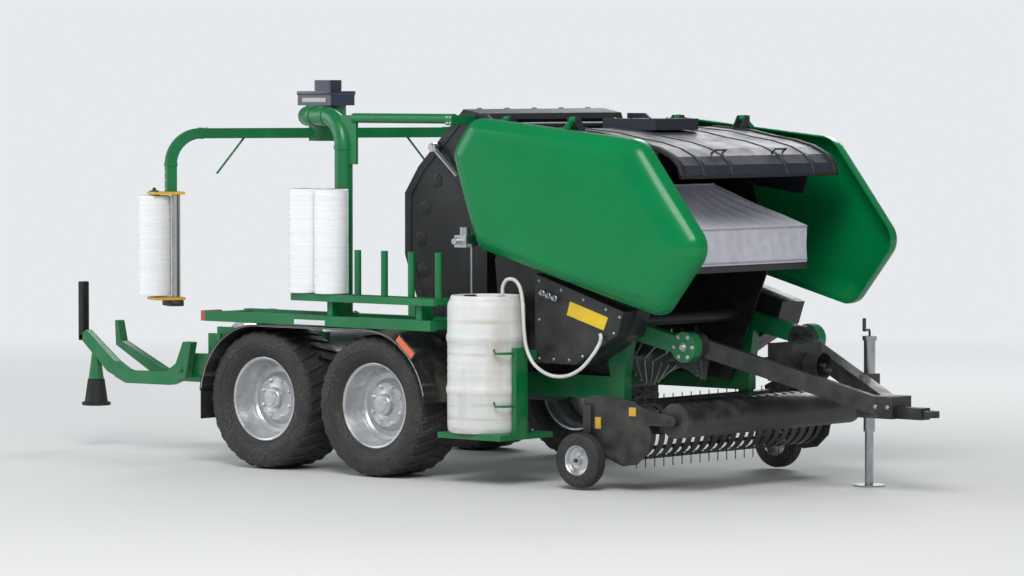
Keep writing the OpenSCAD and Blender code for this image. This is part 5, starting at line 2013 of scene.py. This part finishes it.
@dataclass
class GantryTrim:
    """Bolts of the gantry and the arms, and the fittings of the drive motor.

    Attributes:
        hub_x: X of the axis that the satellites turn about.
        arm_angle: Angle of the first arm from the direction of travel, in degrees.
        leg: Distance of an arm's leg from that axis.
        roll: Distance of a film roll from it.
        mast: Middle of the bolts at the mast's foot.
        mast_circle: Radius of their circle.
        hub_circle: Radius at which the hub's bolts lie.
        arm_bolts: Distances of an arm's upper bolts from the axis.
        leg_bolts: Heights of a leg's bolts.
    """

    hub_x: float = -1.12
    arm_angle: float = 60.0
    leg: float = 1.203
    roll: float = 1.33
    mast: Spot = (0.08, -1.1, 1.1465)
    mast_circle: float = 0.09
    hub_circle: float = 0.1505
    arm_bolts: Pair = (0.93, 0.98)
    leg_bolts: tuple[float, ...] = (2.12, 2.06, 2.0)

    def out(self, k: int, r: float, across: float, z: float) -> Vector:
        """A place on satellite k: out along its arm, across it and up."""
        c, s = polar(1, math.radians(self.arm_angle + 180 * k))
        return at(self.hub_x + r * c - across * s, r * s + across * c, z)

    def by_motor(self, x: float, y: float, z: float) -> Vector:
        """A place whose length along X is counted from the satellites' axis."""
        return at(self.hub_x + x, y, z)

    def gantry(self) -> Builder:
        """Bolts at the mast's foot, the tie's end and round the hub.

        Returns:
            The builder that holds them.
        """
        bolts = Builder()
        mast_x, mast_y, mast_z = self.mast
        for k in range(6):
            x, y = polar(self.mast_circle, TAU * k / 6)
            bolts.bolt(at(mast_x + x, mast_y + y, mast_z), (0, 0, 1))
        for x in (1.105, 1.135):
            for z in (2.505, 2.545):
                bolts.bolt(at(x, -1.1455, z), (0, -1, 0), 0.008)
        for a in range(0, 360, 45):
            x, y = polar(1, math.radians(a))
            bolts.bolt(self.by_motor(self.hub_circle * x, self.hub_circle * y, 2.5), (x, y, 0), 0.01)
        return bolts

    def motor(self) -> Builder:
        """The motor's lid, cooling ribs and cable ends.

        Returns:
            The builder that holds them.
        """
        motor = Builder().box(self.by_motor(-0.176, -0.136, 2.692), self.by_motor(0.176, 0.136, 2.722), 0.008)
        for y in (-0.045, 0.0, 0.045):
            motor.rod(self.by_motor(-0.2, y, 2.66), self.by_motor(-0.168, y, 2.66), 0.012, 16)
        for k in range(5):
            z = 2.735 + 0.014 * k
            motor.box(self.by_motor(-0.064, -0.064, z), self.by_motor(0.104, 0.064, z + 0.005), 0.001)
        return motor

    def build(self) -> None:
        """Makes the trim of the gantry, the motor and the satellites."""
        dress(self.gantry().mesh("gantry_bolts"), Finish.STEEL)
        dress(self.motor().mesh("motor_cover"), Finish.NAVY)
        strip = Builder().box(self.by_motor(-0.12, -0.1335, 2.64), self.by_motor(0.12, -0.1295, 2.672), 0.001)
        dress(strip.mesh("motor_strip"), Finish.LIP)
        heads, caps, gears = Builder(), Builder(), Builder()
        knob = [(0, 0.03), (0.012, 0.028), (0.014, 0.01), (0.034, 0.008), (0.036, -0.001), (0, -0.001)]
        cover = ((1.145, -0.05), (1.145, 0.15), (1.24, 0.15), (1.26, 0.1), (1.26, -0.05))
        for k in (0, 1):
            for r in self.arm_bolts:
                for across in (-0.022, 0.022):
                    heads.bolt(self.out(k, r, across, 2.4478), (0, 0, 1), 0.008)
            outward = polar(1, math.radians(self.arm_angle + 180 * k))
            for z in self.leg_bolts:
                heads.bolt(self.out(k, self.leg + 0.0378, 0.0, z), (*outward, 0), 0.009)
            caps.turned(knob, self.out(k, self.roll, 0.0, 1.98), steps=32)
            flat = [self.out(k, r, across, 0) for r, across in cover]
            gears.prism([(p.x, p.y) for p in flat], 1.134, 1.18, Axis.Z, 0.006)
        dress(heads.mesh("arm_bolts"), Finish.STEEL, "satellites")
        dress(caps.mesh("roll_knobs"), Finish.GUARD, "satellites")
        dress(gears.mesh("stretch_gear_covers"), Finish.GUARD, "satellites")


@dataclass
class FrontTrim:
    """Bolts of the raised arms, the jack's crank, the shaft's guard and the pickup's yellow handles.

    Attributes:
        joint: X and Z of the joint between a raised arm and the drawbar.
        joint_y: Distance of its outer face from the machine's middle plane.
        circle: Radius of its bolt circle.
        nose: X of the bolts at the drawbar's nose.
        crank: Line of the jack's crank.
        grip: Underside and top of the crank's grip.
        shaft: Where the shaft's guard starts.
        guard: The guard's section as radius and length.
        handles: Lowest and highest X and Z of each yellow handle.
    """

    joint: Pair = (2.9, 0.985)
    joint_y: float = 0.741
    circle: float = 0.078
    nose: Pair = (4.06, 4.16)
    crank: tuple[Spot, ...] = (
        (3.62, 0.42, 1.035), (3.62, 0.42, 1.075), (3.63, 0.4, 1.085), (3.67, 0.29, 1.085),
    )
    grip: tuple[Spot, ...] = ((3.67, 0.29, 1.08), (3.67, 0.29, 1.17))
    shaft: Spot = (3.4, 0, 0.85)
    guard: Line = (
        (0.0605, 0.002), (0.084, 0.02), (0.094, 0.145), (0.089, 0.145), (0.079, 0.024), (0.0605, 0.008),
        (0.0605, 0.002),
    )
    handles: tuple[Line, ...] = (((2.66, 0.52), (2.72, 0.58)), ((2.36, 0.42), (2.41, 0.5)))

    def build(self) -> None:
        """Makes the trim of the chassis' front and of the pickup."""
        bolts = Builder()
        joint_x, joint_z = self.joint
        for side in Side:
            out = (0, side.value, 0)
            for k in range(6):
                x, z = polar(self.circle, TAU * k / 6)
                bolts.bolt(at(joint_x + x, side.value * self.joint_y, joint_z + z), out, 0.013)
            bolts.bolt(at(joint_x, side.value * self.joint_y, joint_z), out, 0.026)
        for x in self.nose:
            for side in Side:
                bolts.bolt(at(x, side.value * 0.111, 0.6), (0, side.value, 0), 0.014)
        dress(bolts.mesh("front_bolts"), Finish.STEEL)
        crank = Builder().tube([at(*p) for p in self.crank], 0.008, 10)
        crank.rod(*(at(*p) for p in self.grip), 0.013, 16)
        dress(crank.mesh("jack_crank"), Finish.DARK)
        guard = Builder().turned(self.guard, at(*self.shaft), Axis.X)
        dress(guard.mesh("shaft_guard"), Finish.GUARD)
        tabs = Builder()
        for side in Side:
            low, high = side.span(1.0225, 1.031)
            for (x0, z0), (x1, z1) in self.handles:
                tabs.box(at(x0, low, z0), at(x1, high, z1), 0.002)
        dress(tabs.mesh("pickup_handles"), Finish.YELLOW, "pickup")


@dataclass
class CadFinishes:
    """The finishes of the frame's own solids that are shown as they are."""

    def build(self) -> None:
        """Dresses every node of the frame by its slot."""
        by_slot = {}
        for finish in Finish:
            by_slot.setdefault(finish.slot, finish)
        for part in frame["record"]["subparts"]:
            node = frame["nodes"][part["node"]]
            finish = by_slot[part["material_slot"]]
            node.data.materials.clear()
            node.data.materials.append(finish.material())
            LOG.info("%s is finished in %s", node.name, finish.name.lower())


def main() -> None:
    """Builds the stage and every sub-assembly in order."""
    logging.basicConfig(level=logging.INFO, format="%(message)s")
    stage = Stage()
    stage.camera()
    DosingHose().build()
    stage.build()
    CadFinishes().build()
    for assembly in (
        Wheels(), SideShells(), NetCover(), FilmRolls(), Barrel(), HoodTrim(), GateTrim(), DriveTrim(),
        GuardTrim(), BaleTipper(), GaugeWheels(), GantryTrim(), FrontTrim(),
    ):
        assembly.build()
        LOG.info("built %s", type(assembly).__name__)


if __name__ == "__main__":
    main()
